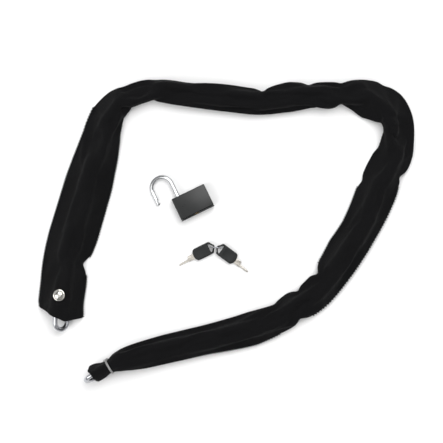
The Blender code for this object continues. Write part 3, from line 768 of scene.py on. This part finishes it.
def touched_up(points):
    """The last small push away from the chain, point by point."""
    outward, reach, taken = chain_reach(points)
    push = np.where(taken > 0, np.maximum(taken + CLOTH_GAP / 2 - reach, 0), 0)
    cleared = points + outward * push[:, None]
    cleared[:, 2] = np.maximum(cleared[:, 2], FLOOR_CLEARANCE)
    return cleared


# ---------------------------------------------------------------- mesh tools

def smooth_faces(mesh, sharp_degrees=180):
    mesh.shade_smooth()
    if sharp_degrees < 180:
        mesh.set_sharp_from_angle(angle=math.radians(sharp_degrees))


def applied(thing):
    """The object's mesh with its modifiers in it, on the object, which keeps none."""
    mesh = bpy.data.meshes.new_from_object(thing.evaluated_get(bpy.context.evaluated_depsgraph_get()))
    thing.modifiers.clear()
    old = thing.data
    thing.data = mesh
    if isinstance(old, bpy.types.Mesh):
        bpy.data.meshes.remove(old)
    return thing


def frame_matrix(origin, x, y, z):
    matrix = Matrix.Identity(4)
    for column, axis in enumerate((x, y, z)):
        matrix.col[column][:3] = axis
    matrix.translation = origin
    return matrix


def add_line(curve, points, closed):
    """A straight-sided line through the points, in a curve."""
    line = curve.splines.new("POLY")
    line.points.add(len(points) - 1)
    for point, spot in zip(line.points, points):
        point.co = (*spot, 1.0)
    line.use_cyclic_u = closed
    return line


def curve_mesh(curve):
    """The mesh of a curve, which is removed."""
    thing = link_object("curve", curve)
    bpy.context.view_layer.update()
    mesh = bpy.data.meshes.new_from_object(thing)
    bpy.data.objects.remove(thing, do_unlink=True)
    bpy.data.curves.remove(curve)
    mesh.materials.clear()
    return mesh


def swept_rod(name, points, radius, material, cyclic=False, sides=20, sizes=None):
    """A round rod along a line of points. sizes scales its radius point by point, where it isn't even."""
    curve = bpy.data.curves.new(name, "CURVE")
    curve.dimensions = "3D"
    curve.bevel_depth = radius
    curve.bevel_resolution = sides // 4 - 1
    curve.use_fill_caps = True
    line = add_line(curve, points, cyclic)
    for point, size in zip(line.points, sizes or []):
        point.radius = size
    mesh = curve_mesh(curve)
    smooth_faces(mesh, 50)
    return link_object(name, mesh, material)


def flat_plate(name, outlines, thickness, edge, material):
    """A flat plate with rounded edges, from outlines in millimetres: its rim first, and then its holes."""
    curve = bpy.data.curves.new(name, "CURVE")
    curve.dimensions = "2D"
    curve.fill_mode = "BOTH"
    curve.extrude = thickness / 2 - edge
    curve.bevel_depth = edge
    curve.bevel_resolution = 2
    curve.offset = -edge
    for outline in outlines:
        add_line(curve, [(x * MM, y * MM, 0) for x, y in outline], True)
    bm = bmesh.new()
    bm.from_mesh(curve_mesh(curve))
    bmesh.ops.remove_doubles(bm, verts=bm.verts, dist=0.005 * MM)
    return link_object(name, mesh_of(name, bm), material)


def cut_out(thing, cutters):
    """Take the cutters out of a piece."""
    for cutter in cutters:
        modifier = thing.modifiers.new("cut", "BOOLEAN")
        modifier.operation = "DIFFERENCE"
        modifier.solver = "EXACT"
        modifier.object = cutter
    bpy.context.view_layer.update()
    applied(thing)
    for cutter in cutters:
        bpy.data.objects.remove(cutter, do_unlink=True)
    return thing


def turned(name, profile, material, segments=64):
    """A profile of (radius, height) pairs turned about Z."""
    bm = bmesh.new()
    rings = []
    for radius, height in profile:
        if radius == 0:
            rings.append([bm.verts.new((0, 0, height))])
            continue
        angles = [2 * math.pi * i / segments for i in range(segments)]
        rings.append([bm.verts.new((radius * math.cos(t), radius * math.sin(t), height)) for t in angles])
    for before, after in zip(rings, rings[1:]):
        for i in range(segments):
            j = (i + 1) % segments
            corners = [*(before[k % len(before)] for k in (i, j)), *(after[k % len(after)] for k in (j, i))]
            bm.faces.new(list(dict.fromkeys(corners)))
    bmesh.ops.recalc_face_normals(bm, faces=bm.faces)
    mesh = mesh_of(name, bm)
    smooth_faces(mesh, 40)
    return link_object(name, mesh, material)


def plain_box(size):
    bm = bmesh.new()
    bmesh.ops.create_cube(bm, size=1.0)
    bmesh.ops.scale(bm, vec=size, verts=bm.verts)
    return bm


def rounded_box(name, size, edge, segments, material):
    bm = plain_box(size)
    bmesh.ops.bevel(bm, geom=bm.edges, offset=edge, segments=segments, profile=0.5, affect="EDGES")
    return link_object(name, mesh_of(name, bm), material)


def round_cutter(start, end, radius, segments=40):
    start, end = Vector(start), Vector(end)
    bm = bmesh.new()
    bmesh.ops.create_cone(bm, cap_ends=True, segments=segments, radius1=radius, radius2=radius,
                          depth=(end - start).length)
    turn = (end - start).to_track_quat("Z", "Y").to_matrix().to_4x4()
    bmesh.ops.transform(bm, matrix=Matrix.Translation((start + end) / 2) @ turn, verts=bm.verts)
    return link_object("cutter", mesh_of("cutter", bm))


def box_cutter(corner, opposite):
    corner, opposite = Vector(corner), Vector(opposite)
    bm = plain_box(opposite - corner)
    bmesh.ops.translate(bm, vec=(corner + opposite) / 2, verts=bm.verts)
    return link_object("cutter", mesh_of("cutter", bm))


def seat(thing, matrix, body, slot, *nodes):
    """Put a piece in its place, let it ride on a body, and let it stand for its CAD nodes."""
    thing.matrix_world = matrix
    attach(thing, body)
    if nodes:
        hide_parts(*nodes)
    return thing


def face_directions(name):
    """The outward normals of a node's flat faces, largest area first."""
    mesh = frame["nodes"][name].data
    areas = {}
    for face in mesh.polygons:
        key = tuple(round(c, 2) for c in face.normal)
        total, normal = areas.get(key, (0.0, Vector()))
        areas[key] = (total + face.area, normal + face.normal * face.area)
    ordered = sorted(areas.values(), key=lambda entry: -entry[0])
    return [normal.normalized() for _, normal in ordered]


# ---------------------------------------------------------------- sleeve pieces

PIECE_ENDS = (6.5, 11.0, 15.5, 20.0, 24.5)
PIECES = [
    ("leg", "open_end", "first_corner", 4), ("first_corner", "first_corner", "top_run", 9),
    ("top", "top_run", "second_corner", 13), ("second_corner", "second_corner", "right_run", 18),
    ("right", "right_run", "lower_run", 22), ("lower", "lower_run", "tied_end", 27),
]
SECTIONS = {
    "leg": ["sleeve_section_1"], "first_corner": ["sleeve_section_2"], "top": ["sleeve_section_3"],
    "second_corner": ["sleeve_section_4"], "right": ["sleeve_section_5"],
    "lower": ["sleeve_section_6", "sleeve_tied_end"],
}
PIECE_LIMITS = (MOUTH, *PIECE_ENDS, TUFT_END)
BLEND_REACH = 0.55
HEM_DEPTH = 9 * MM
HEM_INSET = 1.3 * MM
HEM_RINGS = 3
STITCHES = 54
STITCH_LINE = 6.2 * MM
THREAD_RADIUS = 0.28 * MM
THREAD_SIDES = 6
THREAD_END = 0.55


def turned_in(ring, inside, depth_share):
    """A ring just inside the cloth's end, part of the way to the ring inside it."""
    middle = ring.mean(axis=0)
    inward = middle - ring
    inward /= np.linalg.norm(inward, axis=1, keepdims=True)
    return ring + (inside - ring) * depth_share + inward * HEM_INSET


def with_hems(rings):
    """The cloth with its two ends turned in."""
    reach = HEM_DEPTH / RING_STEP
    start, end = rings[0], rings[-1]
    before = [turned_in(start, rings[3], s) for s in (reach / 3, reach / 9, 0.02)]
    after = [turned_in(end, rings[-3], s) for s in (0.02, 0.35, 0.9)]
    return np.concatenate([before, rings, after])


def sleeve_mesh(rings, places):
    """The whole sleeve as one mesh, with UV in metres of cloth and each face's piece."""
    count = len(rings)
    mesh = bpy.data.meshes.new("sleeve")
    mesh.from_pydata(rings.reshape(-1, 3).tolist(), [], tube_faces(count, AROUND))
    layer = mesh.uv_layers.new(name="cloth")
    around = np.tile(np.array([[0, 1, 1, 0]]), (len(mesh.polygons), 1))
    column = np.tile(np.arange(AROUND), count - 1)[:, None]
    row = np.repeat(np.arange(count - 1), AROUND)[:, None] + np.array([[0, 0, 1, 1]])
    across = (column + around) * (CLOTH_GIRTH / AROUND)
    uv = np.stack([across, row * RING_STEP * 1.1], axis=-1)
    layer.data.foreach_set("uv", uv.astype(np.float32).ravel())
    middles = (places[:-1] + places[1:]) / 2
    piece = np.repeat(np.searchsorted(PIECE_ENDS, middles), AROUND)
    mesh.attributes.new("piece", "INT", "FACE").data.foreach_set("value", piece.astype(np.int32))
    return mesh


def split_piece(whole, number, name, material):
    """One piece of the sleeve, which keeps the whole sleeve's normals so that its ends don't show."""
    pieces = np.empty(len(whole.polygons), np.int32)
    whole.attributes["piece"].data.foreach_get("value", pieces)
    normals = np.empty(len(whole.loops) * 3, np.float32)
    whole.corner_normals.foreach_get("vector", normals)
    normals = normals.reshape(-1, 3)
    starts = np.empty(len(whole.polygons), np.int32)
    whole.polygons.foreach_get("loop_start", starts)
    kept = np.flatnonzero(pieces == number)
    bm = bmesh.new()
    bm.from_mesh(whole)
    bm.faces.ensure_lookup_table()
    bmesh.ops.delete(bm, geom=[bm.faces[i] for i in np.flatnonzero(pieces != number)], context="FACES")
    mesh = mesh_of(name, bm)
    mesh.attributes.remove(mesh.attributes["piece"])
    mesh.shade_smooth()
    loops = (starts[kept][:, None] + np.arange(4)).ravel()
    mesh.normals_split_custom_set(normals[loops].tolist())
    return link_object(name, mesh, material)


def blend_piece(thing, joint):
    start, _ = chain_path(joint - BLEND_REACH)
    end, _ = chain_path(joint + BLEND_REACH)
    start[2] = end[2] = 0
    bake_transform(thing)


def make_sleeve(rings, material):
    places = sleeve_places()
    hemmed = with_hems(rings)
    places = np.concatenate([[places[0]] * HEM_RINGS, places, [places[-1]] * HEM_RINGS])
    whole = link_object("sleeve", sleeve_mesh(hemmed, places))
    rounder = whole.modifiers.new("rounder", "SUBSURF")
    rounder.levels = rounder.render_levels = 1
    applied(whole)
    whole.data.vertices.foreach_set("co", touched_up(mesh_points(whole.data)).ravel())
    whole.data.update()
    whole.data.shade_smooth()
    for number, (part, first, second, joint) in enumerate(PIECES):
        piece = split_piece(whole.data, number, f"sleeve_cloth_{part}", material)
        blend_piece(piece, joint)
        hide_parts(*SECTIONS[part])
    bpy.data.objects.remove(whole, do_unlink=True)


def surface_point(rings, along, around):
    """A point of the settled cloth and its outward normal, at a ring and a place round it."""
    def at(i, j):
        i = min(max(i, 0), len(rings) - 1.001)
        row, column = int(i), int(math.floor(j))
        u, v = i - row, j - column
        a, b = rings[row], rings[row + 1]
        k, m = column % AROUND, (column + 1) % AROUND
        return (a[k] * (1 - v) + a[m] * v) * (1 - u) + (b[k] * (1 - v) + b[m] * v) * u
    here = at(along, around)
    normal = np.cross(at(along, around + 0.5) - at(along, around - 0.5), at(along + 0.5, around) - here)
    normal /= np.linalg.norm(normal)
    middle = rings[int(along)].mean(axis=0)
    if normal @ (here - middle) < 0:
        normal = -normal
    return here, normal


def ring_of(place):
    return (place - MOUTH) / (TUFT_END - MOUTH) * (len(sleeve_places()) - 1)


def make_stitches(rings, material):
    """A line of stitches holds the turned-in hem of the open end."""
    bm = bmesh.new()
    for k in range(STITCHES):
        around = (k + 0.25) * AROUND / STITCHES
        points = []
        for share, lift in ((0.0, 0.0), (0.33, 1.0), (0.66, 1.0), (1.0, 0.0)):
            here, normal = surface_point(rings, STITCH_LINE / RING_STEP, around + share * 0.5)
            spot = here + normal * (lift * 0.34 - 0.06) * MM
            points.append(Vector((spot[0], spot[1], max(spot[2], FLOOR_CLEARANCE))))
        add_thread(bm, points)
    mesh = mesh_of("hem_stitches", bm)
    smooth_faces(mesh)
    stitches = link_object("hem_stitches", mesh, material)
    seat(stitches, AS_MADE, "open_end", "black_cloth")


def add_thread(bm, points):
    """Add a short thread, thinner at its two ends, to a mesh."""
    loops = []
    for i, point in enumerate(points):
        ahead = points[min(i + 1, len(points) - 1)] - points[max(i - 1, 0)]
        turn = ahead.to_track_quat("Z", "Y")
        size = THREAD_RADIUS * (THREAD_END if i in (0, len(points) - 1) else 1.0)
        angles = [2 * math.pi * k / THREAD_SIDES for k in range(THREAD_SIDES)]
        spots = [Vector((size * math.cos(t), size * math.sin(t), 0)) for t in angles]
        loops.append([bm.verts.new(point + turn @ spot) for spot in spots])
    capped_tube(bm, loops)


# Where the cloth lies flat enough to show its woven edge: side, then from and to, in links
SELVEDGES = [(0, 0.16, 6.35), (HALF_ROUND, 0.16, 1.6), (HALF_ROUND, 2.2, 6.3), (0, 16.95, 21.3),
             (HALF_ROUND, 17.4, 20.1), (0, 22.3, 26.6)]
TOOTH = 3.3 * MM
TOOTH_REACH = 1.25 * MM
TOOTH_GAP = -0.1 * MM


def selvedge_strip(rings, column, start, end):
    """The woven edge: a narrow strip with a fine toothed rim, as points in four columns."""
    rows = []
    for k, where in enumerate(np.arange(start, end, TOOTH / PITCH / 4)):
        i = min(max(ring_of(where), 0), len(rings) - 1.001)
        row = int(i)
        share = i - row
        line = rings[row] * (1 - share) + rings[row + 1] * share
        rim = line[column]
        outward = rim - line[(column + HALF_ROUND) % AROUND]
        outward[2] = 0
        outward /= np.linalg.norm(outward)
        reach = TOOTH_REACH if k % 4 < 2 else TOOTH_GAP
        up = UP * 0.42 * MM
        inner = rim - outward * 1.2 * MM
        outer = rim + outward * reach
        rows.append([inner + up * 1.5, outer + up * 0.7, outer - up * 0.7, inner - up * 1.5])
    strip = np.array(rows)
    strip[:, :, 2] += np.maximum(FLOOR_CLEARANCE / 2 - strip[:, :, 2].min(axis=1), 0)[:, None]
    return strip


def make_selvedges(rings, material):
    shortest = 0.1
    for number, (part, first, second, joint) in enumerate(PIECES):
        bm = bmesh.new()
        for column, start, end in SELVEDGES:
            start = max(start, PIECE_LIMITS[number])
            end = min(end, PIECE_LIMITS[number + 1])
            if end - start < shortest:
                continue
            strip = selvedge_strip(rings, column, start, end)
            capped_tube(bm, [[bm.verts.new(point) for point in row] for row in strip])
        if not bm.faces:
            bm.free()
            continue
        bmesh.ops.recalc_face_normals(bm, faces=bm.faces)
        mesh = mesh_of(f"selvedge_{part}", bm)
        smooth_faces(mesh, 60)
        blend_piece(link_object(f"selvedge_{part}", mesh, material), joint)


# ---------------------------------------------------------------- chain, rivet and tie

def make_links(material):
    """The links that show at the sleeve's ends: round wire, with the weld's bead on one side."""
    radius = (LINK_WIDTH + WIRE) / 2
    straight = (LINK_LENGTH - LINK_WIDTH) / 2
    steps = 16
    bends = []
    for middle, start in ((straight, -90), (-straight, 90)):
        angles = [math.radians(start + 180 * step / steps) for step in range(steps + 1)]
        bends.append([(middle + radius * math.cos(t), radius * math.sin(t), 0) for t in angles])
    bead = [(x * MM, radius, 0) for x in (1.6, 0.9, 0.3, -0.3, -0.9, -1.6)]
    points = [*bends[0], *bead, *bends[1]]
    even = [1.0] * (steps + 1)
    sizes = [*even, 1.0, 1.07, 1.1, 1.1, 1.07, 1.0, *even]
    bodies = {1: "first_end_link", 2: "open_end", 27: "lower_run", 28: "tied_end"}
    for number, body in bodies.items():
        link = swept_rod(f"link_{number:02d}", points, WIRE / 2, material, True, sizes=sizes)
        axes = LINK_AXES[number - 1]
        matrix = frame_matrix(LINK_MIDDLES[number - 1], *axes.T)
        seat(link, matrix, body, "zinc_steel", link_node(number))


def make_rivet(material):
    """A polished domed cap on a thin flange, pressed into the cloth."""
    least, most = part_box("rivet_cap")
    middle = ((least[0] + most[0]) / 2, (least[1] + most[1]) / 2)
    radius = (most[0] - least[0]) / 2
    rise = 3.1 * MM
    profile = [(0, rise)]
    for step in range(1, 13):
        angle = math.radians(90 - 80 * step / 12)
        profile.append((0.86 * radius * math.cos(angle), rise * (0.12 + 0.88 * math.sin(angle))))
    profile += [(0.88 * radius, 0.4 * MM), (0.93 * radius, 0.34 * MM), (0.985 * radius, 0.26 * MM),
                (radius, 0.05 * MM), (0.985 * radius, -0.2 * MM), (0, -0.3 * MM)]
    cap = turned("rivet_dome", profile, material, 72)
    seat(cap, Matrix.Translation((*middle, most[2] - rise)), "open_end", "nickel", "rivet_cap")


def hull(points):
    """The convex outline of flat points, in order round it."""
    ordered = sorted(map(tuple, points))
    sides = []
    for line in (ordered, ordered[::-1]):
        side = []
        for p in line:
            while len(side) > 1:
                (ax, ay), (bx, by) = side[-2], side[-1]
                if (bx - ax) * (p[1] - ay) - (by - ay) * (p[0] - ax) > 0:
                    break
                side.pop()
            side.append(p)
        sides += side[:-1]
    return np.array(sides)


def neck_line(rings, radius, turns, count):
    """Points of a cord wound tightly round the gathered cloth."""
    point, forward = chain_path(NECK)
    leftward = np.array([-forward[1], forward[0], 0])
    near = np.abs(sleeve_places() - NECK) * PITCH < 3 * MM
    ground = point * LEVEL
    away = rings[near].reshape(-1, 3) - ground
    flat = np.column_stack([away @ leftward, away[:, 2]])
    line = hull(flat)
    middle = line.mean(axis=0)
    line = even_spacing(np.vstack([line, line[:1]]), count)
    outward = line - middle
    line += outward / np.linalg.norm(outward, axis=1)[:, None] * radius * 0.7
    line[:, 1] = np.maximum(line[:, 1], radius + FLOOR_CLEARANCE)
    points = []
    for i in range(int(turns * count)):
        across, up = line[i % count]
        shift = (i / (turns * count) - 0.5) * turns * 1.9 * radius
        points.append(ground + leftward * across + forward * shift + UP * up)
    return points


def make_tie(rings, material):
    """Waxed cord wound twice round the neck and knotted at the side, with two short ends."""
    radius = 0.62 * MM
    points = neck_line(rings, radius, 2.0, 64)
    tie = swept_rod("neck_tie", points, radius, material, sides=12)
    seat(tie, AS_MADE, "tied_end", "grey_cord", "sleeve_tie")
    start, end = Vector(points[0]), Vector(points[-1])
    middle = (start + end) / 2
    _, forward = chain_path(NECK)
    forward = Vector(forward)
    outward = (middle - Vector(np.mean(points, axis=0))).normalized()
    aside = forward.cross(outward)
    loop = [middle + outward * (0.5 + 0.7 * math.cos(3 * t)) * MM + forward * 1.5 * math.sin(2 * t) * MM
            + aside * 1.3 * math.sin(t) * MM for t in (2 * math.pi * k / 40 for k in range(40))]
    knot = swept_rod("tie_knot", loop, radius, material, cyclic=True, sides=12)
    seat(knot, AS_MADE, "tied_end", "grey_cord")
    for name, side, reach in (("tie_tail_1", 1, 5.0), ("tie_tail_2", -1, 3.6)):
        tail = [middle + outward * (0.6 + 1.1 * math.sin(math.pi * t)) * MM
                + forward * side * (0.8 + 2.2 * t) * MM - aside * reach * t * MM
                for t in (k / 8 for k in range(9))]
        rod = swept_rod(name, tail, radius * 0.85, material, sides=12)
        seat(rod, AS_MADE, "tied_end", "grey_cord")


# ---------------------------------------------------------------- padlock

LOCK_SIZE = Vector((43.6, 29.8, 14.0)) * MM
LEG_OFFSET = 13.0 * MM
ROD = 5.0 * MM
BOW_RISE = 17.8 * MM
BASE = 1.2 * MM
SEAM = 0.25 * MM
PLUG_X = -2.0 * MM
PLUG_BORE = 4.15 * MM
PIN_ROWS = [-10.6 * MM, -6.9 * MM, -3.2 * MM]


def padlock_matrix():
    """The padlock's middle and directions: x across its width, y towards the shackle, z up."""
    toward = -Vector(joint_named("shackle_press")["axis"]).normalized()
    up = Vector((0, 0, 1))
    across = toward.cross(up)
    points = node_points("lock_body")
    top = max(points @ np.array(toward))
    spread = points @ np.array(across)
    middle = across * ((spread.min() + spread.max()) / 2) + toward * (top - LOCK_SIZE.y / 2)
    middle += up * LOCK_SIZE.z / 2
    return frame_matrix(middle, across, toward, up)


def bore(x, start, end, radius):
    """A cutter for a round hole along the padlock's height."""
    return round_cutter((x, start, 0), (x, end, 0), radius)


def make_padlock(enamel, steel):
    """The body with its bores, chambers and bolt channel, and the base plate with its two rivets."""
    matrix = padlock_matrix()
    tall = LOCK_SIZE.y / 2
    size = (LOCK_SIZE.x, LOCK_SIZE.y - BASE - SEAM, LOCK_SIZE.z)
    body = rounded_box("padlock_body", size, 1.1 * MM, 4, enamel)
    body.data.transform(Matrix.Translation((0, (BASE + SEAM) / 2, 0)))
    over = MM
    shelf = 3.1 * MM
    toe_depth = 13 * MM
    plug_depth = 7.4 * MM
    chambers = [round_cutter((0, y, 0), (10.9 * MM, y, 0), 1.3 * MM) for y in PIN_ROWS]
    cut_out(body, [
        bore(-LEG_OFFSET, -tall - over, shelf, ROD / 2 + 0.5 * MM),
        bore(-LEG_OFFSET, shelf - over, tall + over, ROD / 2 + 0.3 * MM),
        bore(LEG_OFFSET, tall - toe_depth, tall + over, ROD / 2 + 0.35 * MM),
        bore(PLUG_X, -tall - over, plug_depth, PLUG_BORE),
        box_cutter((-9.1 * MM, 5.3 * MM, -3.5 * MM), (12.2 * MM, 9.1 * MM, 3.5 * MM)), *chambers,
    ])
    smooth_faces(body.data, 30)
    seat(body, matrix, "padlock_case", "black_enamel", "lock_body")
    plate = rounded_box("padlock_base", (LOCK_SIZE.x, BASE, LOCK_SIZE.z), 0.35 * MM, 3, enamel)
    plate.data.transform(Matrix.Translation((0, -tall + BASE / 2, 0)))
    cut_out(plate, [bore(PLUG_X, -tall - over, -tall + 3 * MM, PLUG_BORE)])
    smooth_faces(plate.data, 30)
    seat(plate, matrix, "padlock_case", "black_enamel", "base_plate")
    dome = [(0, 0.5 * MM), (0.8 * MM, 0.42 * MM), (1.3 * MM, 0.12 * MM), (1.35 * MM, -0.3 * MM)]
    turn = Matrix.Rotation(math.pi / 2, 4, "X")
    for name, x in (("left", -17.5 * MM), ("right", 17.5 * MM)):
        rivet = turned(f"base_rivet_{name}", dome, steel, 32)
        seat(rivet, matrix @ Matrix.Translation((x, -tall, 0)) @ turn, "padlock_case", "zinc_steel")


def make_coil(name, start, end, radius, wire, turns, material):
    """A coil spring, in the padlock's directions, wound from its start to its end."""
    start, end = Vector(start) * MM, Vector(end) * MM
    length = (end - start).length
    along = (end - start).normalized()
    up = Vector(UP)
    side = along.cross(up)
    closed_ends = 0.15
    steps = turns * 20
    points = []
    for k in range(steps + 1):
        t = k / steps
        angle = 2 * math.pi * turns * t
        rise = wire / 2 + (length - wire) * (smooth(t) * closed_ends + t * (1 - closed_ends))
        spot = side * math.cos(angle) + up * math.sin(angle)
        points.append(start + along * rise + spot * (radius - wire / 2))
    spring = swept_rod(f"{name}_coil", points, wire / 2, material, sides=12)
    matrix = padlock_matrix()
    spring.data.transform(matrix)
    seat(spring, AS_MADE, "padlock_case", "spring_steel", name)
    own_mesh(spring)


def make_springs(material):
    make_coil("shackle_spring", (-13, 1.3, 0), (-13, -13.35, 0), 2.5 * MM, 0.35 * MM, 8,
              material)
    make_coil("bolt_spring", (-4.6, 7.2, 0), (-8.9, 7.2, 0), 1.4 * MM, 0.3 * MM, 5,
              material)
    for number, y in enumerate(PIN_ROWS, 1):
        make_coil(f"pin_spring_{number}", (5.5, y / MM, 0), (10.7, y / MM, 0), 1.0 * MM, 0.25 * MM, 6,
                  material)


def shackle_line():
    """The rod's centre line: the heel leg at x = 0, over the bow, and down the toe leg."""
    top = LOCK_SIZE.y / 2
    bow = [(LEG_OFFSET - LEG_OFFSET * math.cos(t), top + BOW_RISE + LEG_OFFSET * math.sin(t))
           for t in (math.pi * k / 32 for k in range(33))]
    heel = [(0, y * MM) for y in (3.4, 8, 14, 22)]
    toe_end = top + 0.6 * MM
    toe = [(2 * LEG_OFFSET, y) for y in (top + BOW_RISE - 6 * MM, toe_end + 1.2 * MM, toe_end + 0.5 * MM,
                                         toe_end)]
    return [(x, y, 0) for x, y in [*heel, *bow, *toe]]


def make_shackle(chrome):
    """The shackle where the frame has it, swung out, with the locking notch in its toe."""
    axis = Vector(joint_named("shackle_swing")["axis"]).normalized()
    matrix = padlock_matrix()
    heel = matrix @ Vector((-LEG_OFFSET, 0, 0))
    points = node_points("shackle") - np.array(heel)
    across = points - np.outer(points @ np.array(axis), np.array(axis))
    far = across[np.linalg.norm(across, axis=1) > 1.8 * LEG_OFFSET].mean(axis=0)
    x = Vector(far).normalized()
    line = shackle_line()
    sizes = [1.0] * (len(line) - 2) + [0.92, 0.7]
    shackle = swept_rod("shackle_bow", line, ROD / 2, chrome, sides=32, sizes=sizes)
    toe = 2 * LEG_OFFSET
    notch_middle = LOCK_SIZE.y / 2 + 0.6 * MM + 3.4 * MM
    notch_half = 2.1 * MM
    cut_out(shackle, [box_cutter((toe - 4 * MM, notch_middle - notch_half, -4 * MM),
                                 (toe - 1.3 * MM, notch_middle + notch_half, 4 * MM))])
    smooth_faces(shackle.data, 40)
    seat(shackle, frame_matrix(heel, x, axis, x.cross(axis)), "shackle", "chrome", "shackle")


# ---------------------------------------------------------------- keys

HEAD_MIDDLE = 2.1
HEAD_HALF = 7.7
HEAD_THICK = 3.0 * MM
BLADE_THICK = 1.4 * MM
SHOULDER_LOW = -1.8


def key_matrix(letter):
    """The key's tip and directions: x towards the head, y across, z through."""
    blade = f"key_{letter}_blade"
    directions = face_directions(blade)
    through = directions[0]
    low_side = next(d for d in directions if abs(d @ through) < 0.05)
    y = -low_side
    x = y.cross(through).normalized()
    least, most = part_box("key_ring")
    points = node_points(blade)
    if x @ ((Vector(least) + Vector(most)) / 2 - Vector(points.mean(axis=0))) < 0:
        x = -x
    z = x.cross(y)
    along, across, depth = (points @ np.array(axis) for axis in (x, y, z))
    origin = x * along.min() + y * (across.min() - SHOULDER_LOW * MM)
    origin += z * (depth.min() + depth.max()) / 2
    return frame_matrix(origin, x, y, z)


def blade_outline():
    """The blade's side view in millimetres from its tip, with the key's cuts along the top."""
    bottom = -1.2
    cuts = [(11.6, 1.7), (10.6, 0.9), (9.6, 0.9), (8.6, 1.5), (7.6, 1.5), (6.8, 0.6), (5.8, 0.6),
            (4.8, 1.3), (3.8, 1.3), (3.0, 0.7), (1.8, 0.7)]
    tang = [(29.5, SHOULDER_LOW), (29.5, 4.4), (19.5, 4.9), (14.2, 4.9), (13.7, 4.7), (13.5, 4.2)]
    return [(0.0, -0.4), (0.35, -0.9), (0.9, bottom), (12.2, bottom), (12.6, -1.4), (12.9, SHOULDER_LOW),
            *tang, (13.4, 2.3), (12.9, 1.8), *cuts, (0.5, 0.4), (0.1, 0.1)]


def head_outline():
    """The head's rim: round at the blade's end, pointed at the loop's end."""
    half = HEAD_HALF
    rim = [(25.2 - 4.6 * math.sin(t), HEAD_MIDDLE + half * math.cos(t))
           for t in (math.radians(7.5 * i) for i in range(25))]
    loop = [(43.9, -half), (45.3, -half * 0.88), (46.2, -4.6), (48.4, -2.0), (48.9, -1.2), (49.0, 0.0)]
    loop += [(x, -y) for x, y in loop[-2::-1]]
    return rim + [(x, HEAD_MIDDLE + y) for x, y in loop]


def window_outline():
    sides = [(42.1, 5.2), (41.9, 4.6), (41.9, -4.6), (42.1, -5.2), (42.8, -5.3), (44.6, -3.9), (47.0, -0.9),
             (47.2, 0.0), (47.0, 0.9), (44.6, 3.9), (42.8, 5.3)]
    return [(x, HEAD_MIDDLE + y) for x, y in sides]


def grip_outline():
    """The shallow recess on each face of the head."""
    half = 5.4
    left = [(27.2 - 3.2 * math.sin(t), HEAD_MIDDLE + half * math.cos(t))
            for t in (math.radians(15 * i) for i in range(13))]
    right = [(36.8 + 2.2 * math.sin(t), HEAD_MIDDLE - half * math.cos(t))
             for t in (math.radians(15 * i) for i in range(13))]
    return left + right


def make_keys(metal, plastic):
    """Each key's blade with a groove on both faces, and its head with a recess on both faces."""
    for letter in "ab":
        matrix = key_matrix(letter)
        blade = flat_plate(f"blade_{letter}", [blade_outline()], BLADE_THICK, 0.14 * MM, metal)
        cut_out(blade, [box_cutter((-1 * MM, -0.35 * MM, side * 0.42 * MM),
                                   (17.0 * MM, 0.35 * MM, side * 1.2 * MM)) for side in (-1, 1)])
        smooth_faces(blade.data, 35)
        seat(blade, matrix, f"key_{letter}", "key_steel", f"key_{letter}_blade")
        outlines = [head_outline(), window_outline()]
        head = flat_plate(f"head_{letter}", outlines, HEAD_THICK, 0.55 * MM, plastic)
        recess = []
        for side in (-1, 1):
            pad = flat_plate("recess", [grip_outline()], 0.8 * MM, 0.2 * MM, plastic)
            pad.data.transform(Matrix.Translation((0, 0, side * (HEAD_THICK / 2 + 0.12 * MM))))
            recess.append(pad)
        cut_out(head, recess)
        smooth_faces(head.data, 35)
        seat(head, matrix, f"key_{letter}", "black_plastic", f"key_{letter}_head")


def make_key_ring(steel):
    """A wire ring bent from one length, whose two ends meet."""
    middle, axes = principal_frame("key_ring")
    least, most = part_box("key_ring")
    wire = 1.2 * MM
    radius = (most[2] - least[2]) / 2 - wire / 2
    points = [(radius * math.cos(t), radius * math.sin(t), 0.08 * MM * math.cos(t / 2))
              for t in (math.radians(2 + 356 * k / 96) for k in range(97))]
    ring = swept_rod("ring_wire", points, wire / 2, steel, sides=16)
    seat(ring, frame_matrix(middle, *axes.T), "ring", "zinc_steel", "key_ring")


# ---------------------------------------------------------------- CAD nodes that stay

def dress(names, material):
    """Give CAD nodes that stay as they are one material."""
    for name in names:
        for slot in frame["nodes"][name].material_slots:
            slot.material = material


make_camera()
make_lights()
make_floor()

CLOTH = cloth_material()
THREAD = cord_material()
ZINC = metal_material("bright_zinc", (0.56, 0.57, 0.60), 0.24, 0.03 * MM, 0.3)
NICKEL = metal_material("polished_nickel", (0.64, 0.63, 0.59), 0.10, 0.01 * MM, 0.12)
CHROME = metal_material("polished_chrome", (0.55, 0.56, 0.57), 0.10, 0.01 * MM, 0.12)
BRASS = metal_material("turned_brass", (0.70, 0.52, 0.24), 0.25, 0.03 * MM, 0.2)
KEY_METAL = metal_material("tumbled_steel", (0.56, 0.53, 0.48), 0.26, 0.04 * MM, 0.25)
SPRING = metal_material("spring_wire", (0.45, 0.46, 0.48), 0.3, 0.02 * MM, 0.1)
ENAMEL = enamel_material()
PLASTIC = plastic_material()

rings = sleeve_start()
rings = settle(rings)
rings = untangled(rings)
rings = clear_of_chain(rings)
make_sleeve(rings, CLOTH)
make_stitches(rings, CLOTH)
make_selvedges(rings, CLOTH)
make_links(ZINC)
make_rivet(NICKEL)
make_tie(rings, THREAD)
make_padlock(ENAMEL, ZINC)
make_springs(SPRING)
make_shackle(CHROME)
make_keys(KEY_METAL, PLASTIC)
make_key_ring(ZINC)

dress([link_node(k) for k in range(3, 27)], ZINC)
dress(["plug", "key_pin_1", "key_pin_2", "key_pin_3"], BRASS)
dress(["driver_pin_1", "driver_pin_2", "driver_pin_3", "locking_bolt", "spring_follower"], ZINC)
dress(["rivet_washer"], NICKEL)
